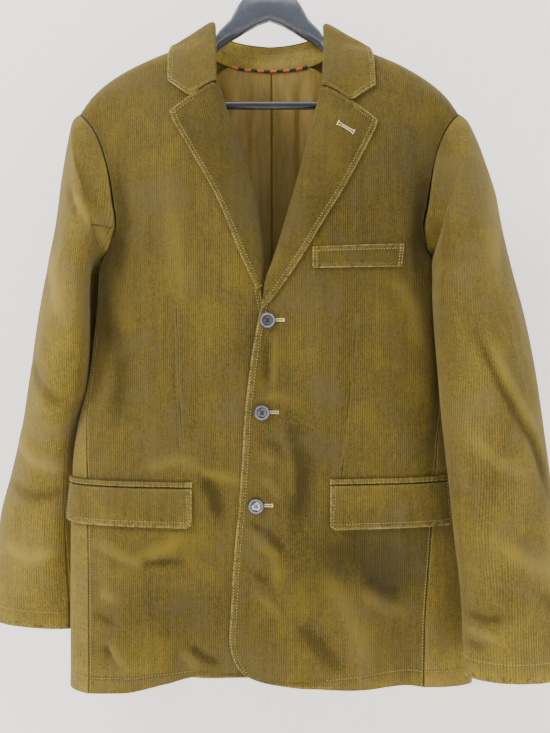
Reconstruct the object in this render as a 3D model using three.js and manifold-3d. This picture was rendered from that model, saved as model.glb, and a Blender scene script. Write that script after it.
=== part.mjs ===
// A man's corduroy jacket, buttoned, hanging on a contoured plastic hanger.
// Millimetres, +Z up. The origin is the point where the hook rests on its rail. The jacket's
// front faces -Y, and +X is the wearer's left.
import * as THREE from 'three';
import { mergeVertices } from 'three/addons/utils/BufferGeometryUtils.js';
import Module from 'manifold-3d';

const wasm = await Module();
wasm.setup();

// Driving dimensions
const CLOTH = 2.2; // corduroy with its backing
const COLLAR_CLOTH = 2.4;
const LINING_CLOTH = 1.0;
const LINING_AIR = { low: 2.6, neck: 2.2, from: 0.84 }; // between the back and its lining
const SEAM = 0.2; // each panel stops this far short of its seam
const REST = 0.6; // air under a piece that lies on a panel
const BUTTON_DIAMETER = 19;
const BUTTON_THICKNESS = 4;
const BUTTON_HOLE = 1.6;
const BAR_HEIGHT = 11;
const HOOK_WIRE = 4;
const ROUNDNESS = 2.6; // exponent of the body's oval section
const SHOULDER_ROLL = 38; // radius of the rounding over the hanger's arms
const SHOULDER_SHARE = 0.62; // share of the chest's depth reached over that rounding
const CHEST_DROP = 170; // below the shoulder the body has its full depth
// The left front lies over the right one below the lapels, most of all over its own facing
const OVERLAP_FADE = { from: 45, to: 115 };
const OVERLAP = [
  { z: -388, lift: 0 },
  { z: -430, lift: 3 },
  { z: -474, lift: 6.2 },
  { z: -520, lift: 6.4 },
  { z: -555, lift: 4.8 },
  { z: -590, lift: 3.6 },
  { z: -625, lift: 3 },
];

// Body sections: height, half widths on the wearer's right and left, middle and half depth
const BODY = [
  { z: -150, right: 262, left: 262, middle: -18, depth: 70 },
  { z: -250, right: 262, left: 262, middle: -18, depth: 70 },
  { z: -274, right: 241, left: 242, middle: -18, depth: 70 },
  { z: -308, right: 224, left: 226, middle: -18, depth: 70 },
  { z: -347, right: 214, left: 217, middle: -18, depth: 70 },
  { z: -390, right: 210, left: 211, middle: -18, depth: 70 },
  { z: -433, right: 206, left: 201, middle: -18, depth: 70 },
  { z: -484, right: 208, left: 202, middle: -18, depth: 69 },
  { z: -540, right: 214, left: 204.5, middle: -18, depth: 68 },
  { z: -589, right: 223, left: 211, middle: -18, depth: 67 },
  { z: -628, right: 236, left: 219, middle: -18, depth: 66 },
  { z: -666, right: 245, left: 226, middle: -18, depth: 65 },
  { z: -707, right: 248, left: 232, middle: -18, depth: 64 },
  { z: -770, right: 250, left: 241, middle: -19, depth: 62 },
  { z: -860, right: 250, left: 250, middle: -20, depth: 60 },
  { z: -985, right: 250, left: 256, middle: -20, depth: 58 },
];

// Shoulder seam: distance from the middle and height
const SHOULDER = [
  { x: 0, z: -150 },
  { x: 60, z: -152 },
  { x: 84, z: -160.2 },
  { x: 122, z: -173 },
  { x: 160, z: -188 },
  { x: 190, z: -204 },
  { x: 215, z: -222 },
  { x: 230, z: -238 },
  { x: 238, z: -250 },
  { x: 262, z: -290 },
];
const NECK_POINT = { x: 84, z: -160.2 };
const SHOULDER_POINT_Z = -250;

// Armhole: the turn round the body where it runs, and its lower rounding
const ARMHOLE_TURN = 65;
const ARMHOLE_ROUND_TOP = -400;
const ARMHOLE_BOTTOM = -433;
const SIDE_FRONT_AT_ARMHOLE = 75;
const SIDE_BACK_TURN = 110;
const ARMHOLE_ROWS = [-400, -368, -335, -305, -283, -267, -257, -252, SHOULDER_POINT_Z];
const ARMPIT_TURNS = [80, 86, 92, 98, 104];

// Seam between front and side panel: height and turn round the body on each side
const SIDE_FRONT = [
  { z: -990, right: 61.5, left: 46.5 },
  { z: -873, right: 61.5, left: 48.5 },
  { z: -773, right: 62, left: 54 },
  { z: -703, right: 63, left: 60 },
  { z: -634, right: 69, left: 69 },
  { z: -589, right: 75, left: 73 },
  { z: -520, right: 77, left: 75 },
  { z: -426, right: SIDE_FRONT_AT_ARMHOLE, left: SIDE_FRONT_AT_ARMHOLE },
];

// Front edges from the hem up, over the top button into the roll line, and up to the shoulder
// seam; side is the height of the same row at the side seam, down from the armhole
const FRONT_ROWS = [
  { side: -972, left: [0, -944.5], right: [-12, -937.5] },
  { side: -960, left: [-21, -938.5], right: [9, -936] },
  { side: -946, left: [-34.5, -929], right: [22, -928] },
  { side: -929, left: [-42.5, -915], right: [29.5, -914] },
  { side: -906, left: [-46.5, -897], right: [33.5, -897] },
  { side: -870, left: [-45, -860], right: [32, -860] },
  { side: -830, left: [-43, -820], right: [30, -820] },
  { side: -790, left: [-40, -780], right: [27, -780] },
  { side: -750, left: [-36, -740], right: [23, -740] },
  { side: -710, left: [-33, -700], right: [20, -700] },
  { side: -670, left: [-30.5, -660], right: [17.5, -660] },
  { side: -634, left: [-28.5, -625], right: [15, -625] },
  { side: -598, left: [-24.5, -590], right: [11, -590] },
  { side: -560, left: [-20, -555], right: [6, -555] },
  { side: -518, left: [-13.5, -520], right: [-1, -520] },
  { side: -472, left: [-3, -474], right: [-10, -476] },
  { side: null, left: [13, -430], right: [-11, -432] },
  { side: null, left: [25.5, -388], right: [-16, -388] },
  { side: null, left: [38, -345], right: [-27.5, -340] },
  { side: null, left: [48.5, -305], right: [-38.5, -309] },
  { side: null, left: [58, -268], right: [-50, -277] },
  { side: null, left: [64, -238], right: [-60, -243] },
  { side: null, left: [69, -198], right: [-67, -200] },
  { side: null, left: [75.5, -180], right: [-74.5, -181] },
  { side: null, left: [80.5, -168], right: [-80, -168] },
  { side: null, left: [NECK_POINT.x, NECK_POINT.z], right: [-NECK_POINT.x, NECK_POINT.z] },
];
const FRONT_COLUMNS = 11;

// Hem: distance along from the wearer's right to left, and height at the front and back
const HEM = [
  { x: -257, front: -974, back: -968 },
  { x: -223, front: -968, back: -967 },
  { x: -178, front: -961, back: -965 },
  { x: -127, front: -949, back: -965 },
  { x: -90, front: -940, back: -964 },
  { x: -12, front: -938, back: -963 },
  { x: 23, front: -948.5, back: -963 },
  { x: 87, front: -954, back: -964 },
  { x: 145, front: -951, back: -966 },
  { x: 185, front: -955, back: -967 },
  { x: 257, front: -973, back: -969 },
];

// Large soft folds of the body: from and to, half width and height; front is -1 and back is 1
const BODY_FOLDS = [
  { face: -1, from: [-150, -250], to: [-120, -420], width: 22, height: 3 },
  { face: -1, from: [165, -262], to: [150, -400], width: 20, height: 3 },
  { face: -1, from: [-178, -330], to: [-205, -620], width: 13, height: -4 },
  { face: -1, from: [-30, -540], to: [-170, -640], width: 20, height: 2.5 },
  { face: -1, from: [60, -560], to: [190, -660], width: 20, height: 2.5 },
  { face: -1, from: [-150, -780], to: [-165, -965], width: 18, height: 4 },
  { face: -1, from: [-90, -800], to: [-96, -945], width: 13, height: -4 },
  { face: -1, from: [110, -800], to: [118, -960], width: 20, height: 4.5 },
  { face: -1, from: [60, -820], to: [64, -960], width: 14, height: -3.5 },
  { face: -1, from: [160, -790], to: [168, -955], width: 13, height: -4 },
  { face: 1, from: [-150, -270], to: [-110, -520], width: 24, height: 4 },
  { face: 1, from: [150, -280], to: [118, -500], width: 22, height: 3.5 },
  { face: 1, from: [-60, -560], to: [-90, -960], width: 26, height: 4.5 },
  { face: 1, from: [75, -600], to: [95, -960], width: 24, height: 5 },
  { face: 1, from: [-165, -640], to: [-172, -965], width: 18, height: -4 },
  { face: 1, from: [170, -660], to: [176, -965], width: 17, height: -4 },
];

// Sleeve rings from the armhole down: outermost and innermost point, middle and half depth
const SLEEVE_LEFT = [
  { outer: [250, -262], inner: [203, -438], middle: -19, depth: 60 },
  { outer: [264, -287], inner: [204.5, -443], middle: -21, depth: 67 },
  { outer: [276, -325], inner: [205, -451], middle: -25, depth: 70 },
  { outer: [287, -380], inner: [204, -464], middle: -32, depth: 71 },
  { outer: [299, -445], inner: [202, -492], middle: -42, depth: 69 },
  { outer: [311, -505], inner: [202, -535], middle: -54, depth: 64 },
  { outer: [319, -565], inner: [204, -585], middle: -66, depth: 59 },
  { outer: [325, -630], inner: [206, -642], middle: -77, depth: 54 },
  { outer: [329, -690], inner: [209, -698], middle: -87, depth: 49 },
  { outer: [334, -755], inner: [215, -758], middle: -93, depth: 44 },
  { outer: [340, -820], inner: [221, -819], middle: -97, depth: 40 },
  { outer: [346, -875], inner: [224, -873], middle: -98, depth: 36 },
  { outer: [350, -924], inner: [226, -922], middle: -98, depth: 34 },
];
const SLEEVE_RIGHT = [
  { outer: [248, -262], inner: [209, -437], middle: -18, depth: 60 },
  { outer: [256, -288], inner: [215, -438], middle: -18, depth: 67 },
  { outer: [263, -325], inner: [221, -440], middle: -18, depth: 72 },
  { outer: [270, -378], inner: [226, -448], middle: -18, depth: 76 },
  { outer: [279, -430], inner: [228, -470], middle: -18, depth: 78 },
  { outer: [289, -480], inner: [228, -508], middle: -17, depth: 77 },
  { outer: [299, -535], inner: [230, -556], middle: -13, depth: 74 },
  { outer: [311, -592], inner: [236, -604], middle: -2, depth: 69 },
  { outer: [325, -645], inner: [251, -653], middle: 16, depth: 62 },
  { outer: [344, -705], inner: [256, -712], middle: 32, depth: 55 },
  { outer: [361, -762], inner: [253, -768], middle: 39, depth: 48 },
  { outer: [370, -820], inner: [248, -826], middle: 42, depth: 43 },
  { outer: [374, -868], inner: [243, -874], middle: 41, depth: 39 },
  { outer: [376, -907], inner: [242, -914], middle: 41, depth: 36 },
];
const SLEEVE_LEAN = 0.32; // a ring's back lies further out than its front
// Sleeve seams as places in a ring, which is numbered from the top down the front
const SLEEVE_FRONT_SEAM = { left: 12, right: 8 };
const SLEEVE_HIND_SEAM = 17;

// Soft folds round a sleeve: along (ring), round (place in ring), reach in each and height
const SLEEVE_FOLDS = {
  left: [
    { ring: 2.5, place: 6.5, rings: 1.2, places: 1.2, slant: 0.5, height: 4 },
    { ring: 5, place: 7.2, rings: 0.8, places: 2.5, slant: 0.3, height: 4 },
    { ring: 7.5, place: 5.8, rings: 0.7, places: 3.2, slant: 0.55, height: 5 },
    { ring: 8.5, place: 7, rings: 0.6, places: 2.2, slant: 0.4, height: -4 },
    { ring: 10.5, place: 7.2, rings: 0.6, places: 2, slant: -0.3, height: 3.5 },
    { ring: 7, place: 18, rings: 0.7, places: 2.5, slant: 0.4, height: 4 },
    { ring: 9, place: 17.5, rings: 0.7, places: 2.5, slant: -0.3, height: 4 },
  ],
  right: [
    { ring: 3, place: 6.5, rings: 1, places: 1.6, slant: 0.6, height: 4.5 },
    { ring: 5.5, place: 6, rings: 0.8, places: 2.2, slant: 0.4, height: 4 },
    { ring: 8, place: 5.5, rings: 0.7, places: 3, slant: 0.5, height: 4.5 },
    { ring: 10, place: 6.6, rings: 0.7, places: 2, slant: -0.4, height: -4 },
    { ring: 11.5, place: 5.4, rings: 0.6, places: 2, slant: 0.3, height: 3.5 },
    { ring: 7, place: 18, rings: 0.8, places: 2.4, slant: -0.4, height: 4 },
    { ring: 9.5, place: 17.5, rings: 0.7, places: 2.5, slant: 0.3, height: 4 },
  ],
};

// Lapels from the top button to the gorge: height on the roll line, outer edge, rise of the roll
const LAPEL_LEFT = [
  { roll: -494, edge: [-8.5, -503], rise: 0.3 },
  { roll: -474, edge: [5, -489], rise: 1.2 },
  { roll: -452, edge: [21, -467], rise: 2 },
  { roll: -430, edge: [37, -443], rise: 2.8 },
  { roll: -388, edge: [63, -400], rise: 3.6 },
  { roll: -345, edge: [90, -356], rise: 4.2 },
  { roll: -305, edge: [112, -315], rise: 4.6 },
  { roll: -268, edge: [126, -287], rise: 4.6 },
  { roll: -241, edge: [129.5, -275.5], rise: 4.4 },
];
const LAPEL_RIGHT = [
  { roll: -476, edge: [-15, -479], rise: 0.3 },
  { roll: -455, edge: [-24, -459], rise: 1 },
  { roll: -432, edge: [-35, -435], rise: 1.8 },
  { roll: -410, edge: [-46, -407], rise: 2.4 },
  { roll: -388, edge: [-57, -380], rise: 3 },
  { roll: -340, edge: [-83, -331], rise: 4 },
  { roll: -309, edge: [-101, -300], rise: 4.4 },
  { roll: -277, edge: [-113, -279], rise: 4.6 },
  { roll: -236, edge: [-118.5, -265], rise: 4.4 },
];
const LAPEL_BEND = { at: 0.4, height: 4, reach: 0.12 }; // its top edge follows the gorge seam
const LAPEL_INSIDE = 9; // how far the facing runs back inside the front

// Collar: fold line and outer edge from the wearer's right, round the neck, to the left.
// An edge point with a face lies on the body there; notch is the corner of the gorge seam
const COLLAR = [
  { s: -1, fold: [-65, -79, -231], edge: [-121.5, -226], face: -1 },
  { s: -0.86, fold: [-66, -73, -205], edge: [-122.5, -200], face: -1 },
  { s: -0.72, fold: [-67, -62, -178], edge: [-122, -182], face: -1 },
  { s: -0.57, fold: [-71, -34, -141], edge: [-120, -174], face: -1 },
  { s: -0.42, fold: [-80, -6, -140], edge: [-116, -177], face: 1 },
  { s: -0.26, fold: [-60, 19, -140], edge: [-86, -190], face: 1 },
  { s: -0.12, fold: [-26, 29.5, -143], edge: [-40, -198], face: 1 },
  { s: 0, fold: [0, 31, -144], edge: [0, -200], face: 1 },
  { s: 0.12, fold: [26, 29.5, -143], edge: [40, -198], face: 1 },
  { s: 0.26, fold: [60, 19, -140], edge: [87, -190], face: 1 },
  { s: 0.42, fold: [79, -6, -141], edge: [118, -178], face: 1 },
  { s: 0.57, fold: [70, -34, -143], edge: [123, -175.5], face: -1 },
  { s: 0.72, fold: [69, -61, -182], edge: [126, -184], face: -1 },
  { s: 0.86, fold: [67, -73, -209], edge: [127, -204], face: -1 },
  { s: 1, fold: [65, -79, -236], edge: [127.5, -231], face: -1 },
];
const COLLAR_ROWS = 26;
const STAND_ROWS = 16; // of the same rows, in the middle
const COLLAR_COLUMNS = 7;
const COLLAR_AIR = 1.3; // the collar stays this far off the shoulders
const FOLD_GAP = 1.0; // half the air inside the collar's fold
const FOLD_PULL = 20; // roundness of the fold
const NOTCH = { along: 0.604, drop: [0, -2.5, -19], reach: 0.16 };
const EDGE_LIFT = 1.6;

// Back neck seam: distance from the middle and height
const BACK_NECK = [
  { x: 0, z: -176 },
  { x: 30, z: -174 },
  { x: 60, z: -167.5 },
  { x: NECK_POINT.x, z: NECK_POINT.z },
];

// Flaps, jets and welt on the fronts: end points as x and height at the top and the bottom
const POCKETS = {
  left: { inner: 72, outer: 221, top: -709, bottom: -764, jet: 8, air: 0.4 },
  right: { inner: -91, outer: -247.6, top: -713, bottom: -764, jet: 8, air: 1.1 },
};
const JET_THICKNESS = 1.8;
const FLAP_HANG = 2.6; // the flap's lower edge stands off this far
const FLAP_WAVE = 0.8;
const WELT = { inner: 50.5, outer: 161, topInner: -429, topOuter: -422, bottomInner: -454, bottomOuter: -450 };
const WELT_THICKNESS = 2.6;
const BUTTONS = [
  { x: -1.6, z: -515 },
  { x: -8.3, z: -623 },
  { x: -15.2, z: -733 },
];

// Hanger: distance from the middle, upper and lower edge, front and back
const HANGER = [
  { x: 0, top: -92, bottom: -121, front: -9, back: 9 },
  { x: 16, top: -92, bottom: -127, front: -9, back: 9 },
  { x: 32, top: -93, bottom: -136, front: -9, back: 9 },
  { x: 40, top: -103, bottom: -141, front: -9, back: 9 },
  { x: 50, top: -122, bottom: -147, front: -9.5, back: 8.5 },
  { x: 64, top: -137, bottom: -157, front: -11, back: 7 },
  { x: 70, top: -148, bottom: -166, front: -13, back: 2.5 },
  { x: 75, top: -163, bottom: -180, front: -15, back: -1.5 },
  { x: 84, top: -170, bottom: -190, front: -18, back: -3 },
  { x: 100, top: -176, bottom: -197, front: -22, back: -7 },
  { x: 122, top: -184.5, bottom: -207, front: -26, back: -9 },
  { x: 160, top: -200, bottom: -222, front: -28, back: -9 },
  { x: 190, top: -217, bottom: -237, front: -29, back: -8 },
  { x: 206, top: -229, bottom: -246, front: -29, back: -8 },
];
const BAR = { z: -238, straight: 156, rise: 172, top: -230.2, y: -18, depth: 8 };

const lerp = (a, b, t) => a + (b - a) * t;
const clamp = (v, lo, hi) => Math.min(hi, Math.max(lo, v));
const smooth = (t) => { const c = clamp(t, 0, 1); return c * c * (3 - 2 * c); };
const rad = THREE.MathUtils.degToRad;
const vec = (x, y, z) => new THREE.Vector3(x, y, z);

// Smooth, monotone curve through the rows of a table
function tableCurve(rows, key, column) {
  const sorted = [...rows].sort((a, b) => a[key] - b[key]);
  const xs = sorted.map((row) => row[key]);
  const ys = sorted.map((row) => (typeof column === 'function' ? column(row) : row[column]));
  const slopes = ys.slice(1).map((y, i) => (y - ys[i]) / (xs[i + 1] - xs[i]));
  const tangents = ys.map((_, i) => {
    if (i === 0) return slopes[0];
    if (i === ys.length - 1) return slopes[i - 1];
    const product = slopes[i - 1] * slopes[i];
    return product <= 0 ? 0 : (2 * product) / (slopes[i - 1] + slopes[i]);
  });
  return (x) => {
    const at = clamp(x, xs[0], xs[xs.length - 1]);
    let i = xs.findIndex((value) => value >= at) - 1;
    if (i < 0) i = 0;
    const span = xs[i + 1] - xs[i];
    const t = (at - xs[i]) / span;
    const rise = t * t * (3 - 2 * t);
    const start = t * (1 - t) * (1 - t) * span * tangents[i];
    const end = t * t * (t - 1) * span * tangents[i + 1];
    return lerp(ys[i], ys[i + 1], rise) + start + end;
  };
}

const halfWidthRight = tableCurve(BODY, 'z', 'right');
const halfWidthLeft = tableCurve(BODY, 'z', 'left');
const bodyMiddle = tableCurve(BODY, 'z', 'middle');
const bodyDepth = tableCurve(BODY, 'z', 'depth');
const shoulderHeight = tableCurve(SHOULDER, 'x', 'z');
const backNeckHeight = tableCurve(BACK_NECK, 'x', 'z');
const hemHeight = {
  '-1': tableCurve(HEM, 'x', 'front'),
  1: tableCurve(HEM, 'x', 'back'),
};
const sideFrontTurn = {
  right: tableCurve(SIDE_FRONT, 'z', 'right'),
  left: tableCurve(SIDE_FRONT, 'z', 'left'),
};

const halfWidth = (side, z) => (side === 'left' ? halfWidthLeft(z) : halfWidthRight(z));
const sideSign = (side) => (side === 'left' ? 1 : -1);
const sideOf = (x) => (x < 0 ? 'right' : 'left');

// Square of the body's half depth, past its edges too, where it turns negative
function depthSquared(x, z) {
  const share = Math.abs(x) / halfWidth(sideOf(x), z);
  const rest = 1 - share ** ROUNDNESS;
  const oval = Math.sign(rest) * Math.abs(rest) ** (2 / ROUNDNESS);
  const below = shoulderHeight(Math.abs(x)) - z;
  const near = clamp(Math.abs(below) / SHOULDER_ROLL, 0, 1);
  const roll = Math.sqrt(1 - (1 - near) ** 2);
  const reach = SHOULDER_SHARE * roll + (1 - SHOULDER_SHARE) * smooth(Math.abs(below) / CHEST_DROP);
  return bodyDepth(z) ** 2 * oval * reach * reach * Math.sign(below || 1);
}

function ridge(x, z, fold) {
  const [x0, z0] = fold.from;
  const [x1, z1] = fold.to;
  const length = Math.hypot(x1 - x0, z1 - z0);
  const along = ((x - x0) * (x1 - x0) + (z - z0) * (z1 - z0)) / length ** 2;
  const off = Math.hypot(x - lerp(x0, x1, clamp(along, 0, 1)), z - lerp(z0, z1, clamp(along, 0, 1)));
  const ends = smooth((along + 0.15) / 0.35) * (z1 < -930 ? 1 : smooth((1.15 - along) / 0.35));
  return fold.height * Math.exp(-((off / fold.width) ** 2)) * ends;
}

// Outer surface of the body at x and z: point and outward normal; face is -1 front, 1 back
function body(x, z, face) {
  const step = 0.4;
  const squared = Math.max(depthSquared(x, z), 0);
  const half = face * Math.sqrt(squared);
  const normal = vec(
    -(depthSquared(x + step, z) - depthSquared(x - step, z)) / (2 * step),
    2 * half,
    -(depthSquared(x, z + step) - depthSquared(x, z - step)) / (2 * step),
  ).normalize();
  const relief = BODY_FOLDS.filter((fold) => fold.face === face)
    .reduce((sum, fold) => sum + ridge(x, z, fold), 0);
  const point = vec(x, bodyMiddle(z) + half, z).addScaledVector(normal, relief * clamp(Math.abs(normal.y) * 1.6 - 0.5, 0, 1));
  return { point, normal };
}

function overlapLift(x, z) {
  const aside = smooth((OVERLAP_FADE.to - x) / (OVERLAP_FADE.to - OVERLAP_FADE.from));
  const i = OVERLAP.findIndex((row) => row.z <= z);
  if (i <= 0) return (i === 0 ? OVERLAP[0] : OVERLAP[OVERLAP.length - 1]).lift * aside;
  const [above, below] = [OVERLAP[i - 1], OVERLAP[i]];
  return lerp(above.lift, below.lift, (above.z - z) / (above.z - below.z)) * aside;
}

function frontSurface(x, z, side) {
  const at = body(x, z, -1);
  if (side === 'left') at.point.addScaledVector(at.normal, overlapLift(x, z));
  return at;
}

// Place round the body as a turn from the front's middle, and back
const turnToX = (side, turn, z) => sideSign(side) * halfWidth(side, z) * Math.sin(rad(turn));
const xToTurn = (side, x, z) => THREE.MathUtils.radToDeg(Math.asin(clamp(x / halfWidth(side, z), -1, 1)));

function bodyAtTurn(side, turn, z) {
  return body(turnToX(side, turn, z), z, turn > 90 ? 1 : -1);
}

function armholeTurn(z) {
  const low = clamp((ARMHOLE_ROUND_TOP - z) / (ARMHOLE_ROUND_TOP - ARMHOLE_BOTTOM), 0, 1);
  return 90 - (90 - ARMHOLE_TURN) * Math.sqrt(1 - low * low);
}

function armholeHeight(turn) {
  const share = clamp(Math.abs(90 - turn) / (90 - ARMHOLE_TURN), 0, 1);
  return ARMHOLE_ROUND_TOP - (ARMHOLE_ROUND_TOP - ARMHOLE_BOTTOM) * Math.sqrt(1 - share * share);
}

// Closed wall over a grid of points with normals, between two offsets along the normals
function wall(grid, outer, inner) {
  const rows = grid.length;
  const columns = grid[0].length;
  const positions = [];
  const push = (offset) => grid.forEach((row) => row.forEach(({ point, normal }) => {
    positions.push(...point.clone().addScaledVector(normal, offset).toArray());
  }));
  push(outer);
  push(inner);
  const at = (i, j, layer) => layer * rows * columns + i * columns + j;
  const quads = [];
  for (let i = 0; i < rows - 1; i += 1) {
    for (let j = 0; j < columns - 1; j += 1) {
      quads.push([at(i, j, 0), at(i, j + 1, 0), at(i + 1, j + 1, 0), at(i + 1, j, 0)]);
      quads.push([at(i, j, 1), at(i + 1, j, 1), at(i + 1, j + 1, 1), at(i, j + 1, 1)]);
    }
  }
  const rim = [];
  for (let j = 0; j < columns - 1; j += 1) rim.push([[0, j], [0, j + 1]]);
  for (let i = 0; i < rows - 1; i += 1) rim.push([[i, columns - 1], [i + 1, columns - 1]]);
  for (let j = columns - 1; j > 0; j -= 1) rim.push([[rows - 1, j], [rows - 1, j - 1]]);
  for (let i = rows - 1; i > 0; i -= 1) rim.push([[i, 0], [i - 1, 0]]);
  rim.forEach(([a, b]) => quads.push([at(...a, 0), at(...a, 1), at(...b, 1), at(...b, 0)]));
  const middle = grid[rows >> 1][columns >> 1];
  const right = grid[rows >> 1][(columns >> 1) - 1].point.clone().sub(middle.point);
  const up = grid[(rows >> 1) - 1][columns >> 1].point.clone().sub(middle.point);
  const flip = right.cross(up).dot(middle.normal) < 0;
  const index = quads.flatMap(([a, b, c, d]) => (flip ? [a, d, c, a, c, b] : [a, b, c, a, c, d]));
  const geometry = new THREE.BufferGeometry();
  geometry.setAttribute('position', new THREE.Float32BufferAttribute(positions, 3));
  geometry.setIndex(index);
  geometry.computeVertexNormals();
  return geometry;
}

// Moves the rim of a grid inwards, so that neighbouring panels stay apart at their seam
function trim(grid, { bottom = 0, top = 0, first = 0, last = 0 }) {
  const rows = grid.length - 1;
  const columns = grid[0].length - 1;
  const pull = (edge, neighbour, gap) => {
    edge.point.addScaledVector(neighbour.point.clone().sub(edge.point).normalize(), gap);
  };
  for (let j = 0; j <= columns; j += 1) {
    if (bottom) pull(grid[0][j], grid[1][j], bottom);
    if (top) pull(grid[rows][j], grid[rows - 1][j], top);
  }
  for (let i = 0; i <= rows; i += 1) {
    if (first) pull(grid[i][0], grid[i][1], first);
    if (last) pull(grid[i][columns], grid[i][columns - 1], last);
  }
  return grid;
}

// Four-sided patch between its edges, given as lists of turn and height
function patch(left, right, bottom, top) {
  const rows = left.length - 1;
  const columns = bottom.length - 1;
  return left.map((_, i) => bottom.map((__, j) => {
    const v = i / rows;
    const u = j / columns;
    return [0, 1].map((k) => lerp(left[i][k], right[i][k], u) + lerp(bottom[j][k], top[j][k], v)
      - lerp(lerp(left[0][k], right[0][k], u), lerp(left[rows][k], right[rows][k], u), v));
  }));
}

// Normals of a grid of points, from its neighbours
function withNormals(points, ring = false) {
  const rows = points.length;
  const columns = points[0].length;
  return points.map((row, i) => row.map((point, j) => {
    const before = ring ? (j - 1 + columns) % columns : Math.max(j - 1, 0);
    const after = ring ? (j + 1) % columns : Math.min(j + 1, columns - 1);
    const across = row[after].clone().sub(row[before]);
    const along = points[Math.min(i + 1, rows - 1)][j].clone().sub(points[Math.max(i - 1, 0)][j]);
    return { point: point.clone(), normal: along.cross(across).normalize() };
  }));
}

const evenly = (count) => Array.from({ length: count + 1 }, (_, i) => i / count);

const group = new THREE.Group();
const COLOURS = {
  corduroy: { color: 0x6f5f2e, roughness: 0.92, metalness: 0 },
  lining: { color: 0x7d6a34, roughness: 0.45, metalness: 0 },
  piping: { color: 0x3a3226, roughness: 0.8, metalness: 0 },
  horn: { color: 0x55504a, roughness: 0.35, metalness: 0 },
  plastic: { color: 0x1b1d22, roughness: 0.4, metalness: 0 },
  steel: { color: 0xb9bbbd, roughness: 0.25, metalness: 1 },
};

function add(name, geometry, finish) {
  const mesh = new THREE.Mesh(geometry, new THREE.MeshStandardMaterial(COLOURS[finish]));
  mesh.name = name;
  group.add(mesh);
  return mesh;
}

// Heights of the rows at a side seam, the lowest ones lifted or let down to the hem
function seamHeights(side, turn, face) {
  const lowest = SEAM_ROWS[0];
  const hem = hemHeight[face](turnToX(side, turn(lowest), lowest));
  return SEAM_ROWS.map((z) => z + (hem - lowest) * smooth((SEAM_ROWS[5] - z) / (SEAM_ROWS[5] - lowest)));
}

// Row heights at the side of a front or back panel: side seam, then armhole
function sideRows(turnAtSeam, seamZ, armpitZ, back) {
  const seam = seamZ.map((z) => [turnAtSeam(z), z]);
  const armpit = [turnAtSeam(armpitZ), armpitZ];
  const hole = ARMHOLE_ROWS.map((z) => [back ? 180 - armholeTurn(z) : armholeTurn(z), z]);
  return [...seam, armpit, ...hole];
}

// Fronts: patch between front edge, side seam with armhole, hem and shoulder seam
const ARMPIT_FRONT_Z = armholeHeight(SIDE_FRONT_AT_ARMHOLE);
const ARMPIT_BACK_Z = armholeHeight(SIDE_BACK_TURN);
const SEAM_ROWS = FRONT_ROWS.filter((row) => row.side !== null).map((row) => row.side);

function frontGrid(side) {
  const sign = sideSign(side);
  const toTurn = ([x, z]) => [sign * xToTurn(side, x, z), z];
  const edge = FRONT_ROWS.map((row) => toTurn(row[side]));
  const seam = sideRows(sideFrontTurn[side], seamHeights(side, sideFrontTurn[side], -1), ARMPIT_FRONT_Z, false);
  const startX = FRONT_ROWS[0][side][0];
  const endX = turnToX(side, seam[0][0], seam[0][1]);
  const hem = evenly(FRONT_COLUMNS).map((t) => {
    const x = lerp(startX, endX, t ** 0.9);
    const z = hemHeight[-1](x);
    return [sign * xToTurn(side, x, z), z];
  });
  hem[0] = edge[0];
  hem[FRONT_COLUMNS] = seam[0];
  const shoulder = evenly(FRONT_COLUMNS).map((t) => {
    const x = sign * lerp(NECK_POINT.x, Math.abs(turnToX(side, ARMHOLE_TURN, SHOULDER_POINT_Z)), t);
    return [sign * xToTurn(side, x, shoulderHeight(Math.abs(x))), shoulderHeight(Math.abs(x))];
  });
  shoulder[FRONT_COLUMNS] = seam[seam.length - 1];
  const places = patch(edge, seam, hem, shoulder);
  const grid = places.map((row) => row.map(([turn, z]) => frontSurface(turnToX(side, turn, z), z, side)));
  return trim(grid, { top: SEAM, last: SEAM });
}

// Backs: patch between centre seam, side seam with armhole, hem, and shoulder with neck
const BACK_COLUMNS = 10;
const NECK_SHARES = [0, 0.36, 0.68, 0.9, 1];
const CENTRE_SPACING = 1.6; // rows of the centre seam lie closer towards the neck
function backGrid(side) {
  const atSeam = () => SIDE_BACK_TURN;
  const seam = sideRows(atSeam, seamHeights(side, atSeam, 1), ARMPIT_BACK_Z, true);
  const rows = seam.length - 1;
  const centre = evenly(rows).map((t) => [180, lerp(BACK_NECK[0].z, hemHeight[1](0), (1 - t) ** CENTRE_SPACING)]);
  const endX = Math.abs(turnToX(side, SIDE_BACK_TURN, seam[0][1]));
  const backTurn = (x, z) => 180 - xToTurn(side, x, z);
  const hem = evenly(BACK_COLUMNS).map((t) => {
    const z = hemHeight[1](sideSign(side) * endX * t);
    return [backTurn(endX * t, z), z];
  });
  hem[BACK_COLUMNS] = seam[0];
  const neckColumns = NECK_SHARES.length - 1;
  const shoulderX = Math.abs(turnToX(side, ARMHOLE_TURN, SHOULDER_POINT_Z));
  const top = evenly(BACK_COLUMNS).map((_, j) => {
    const onNeck = j <= neckColumns;
    const x = onNeck ? NECK_POINT.x * NECK_SHARES[j]
      : lerp(NECK_POINT.x, shoulderX, (j - neckColumns) / (BACK_COLUMNS - neckColumns));
    const z = onNeck ? backNeckHeight(x) : shoulderHeight(x);
    return [backTurn(x, z), z];
  });
  top[BACK_COLUMNS] = seam[rows];
  const places = patch(centre, seam, hem, top);
  const grid = places.map((row) => row.map(([turn, z]) => bodyAtTurn(side, turn, z)));
  return trim(grid, { top: SEAM, first: SEAM, last: SEAM });
}

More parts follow.
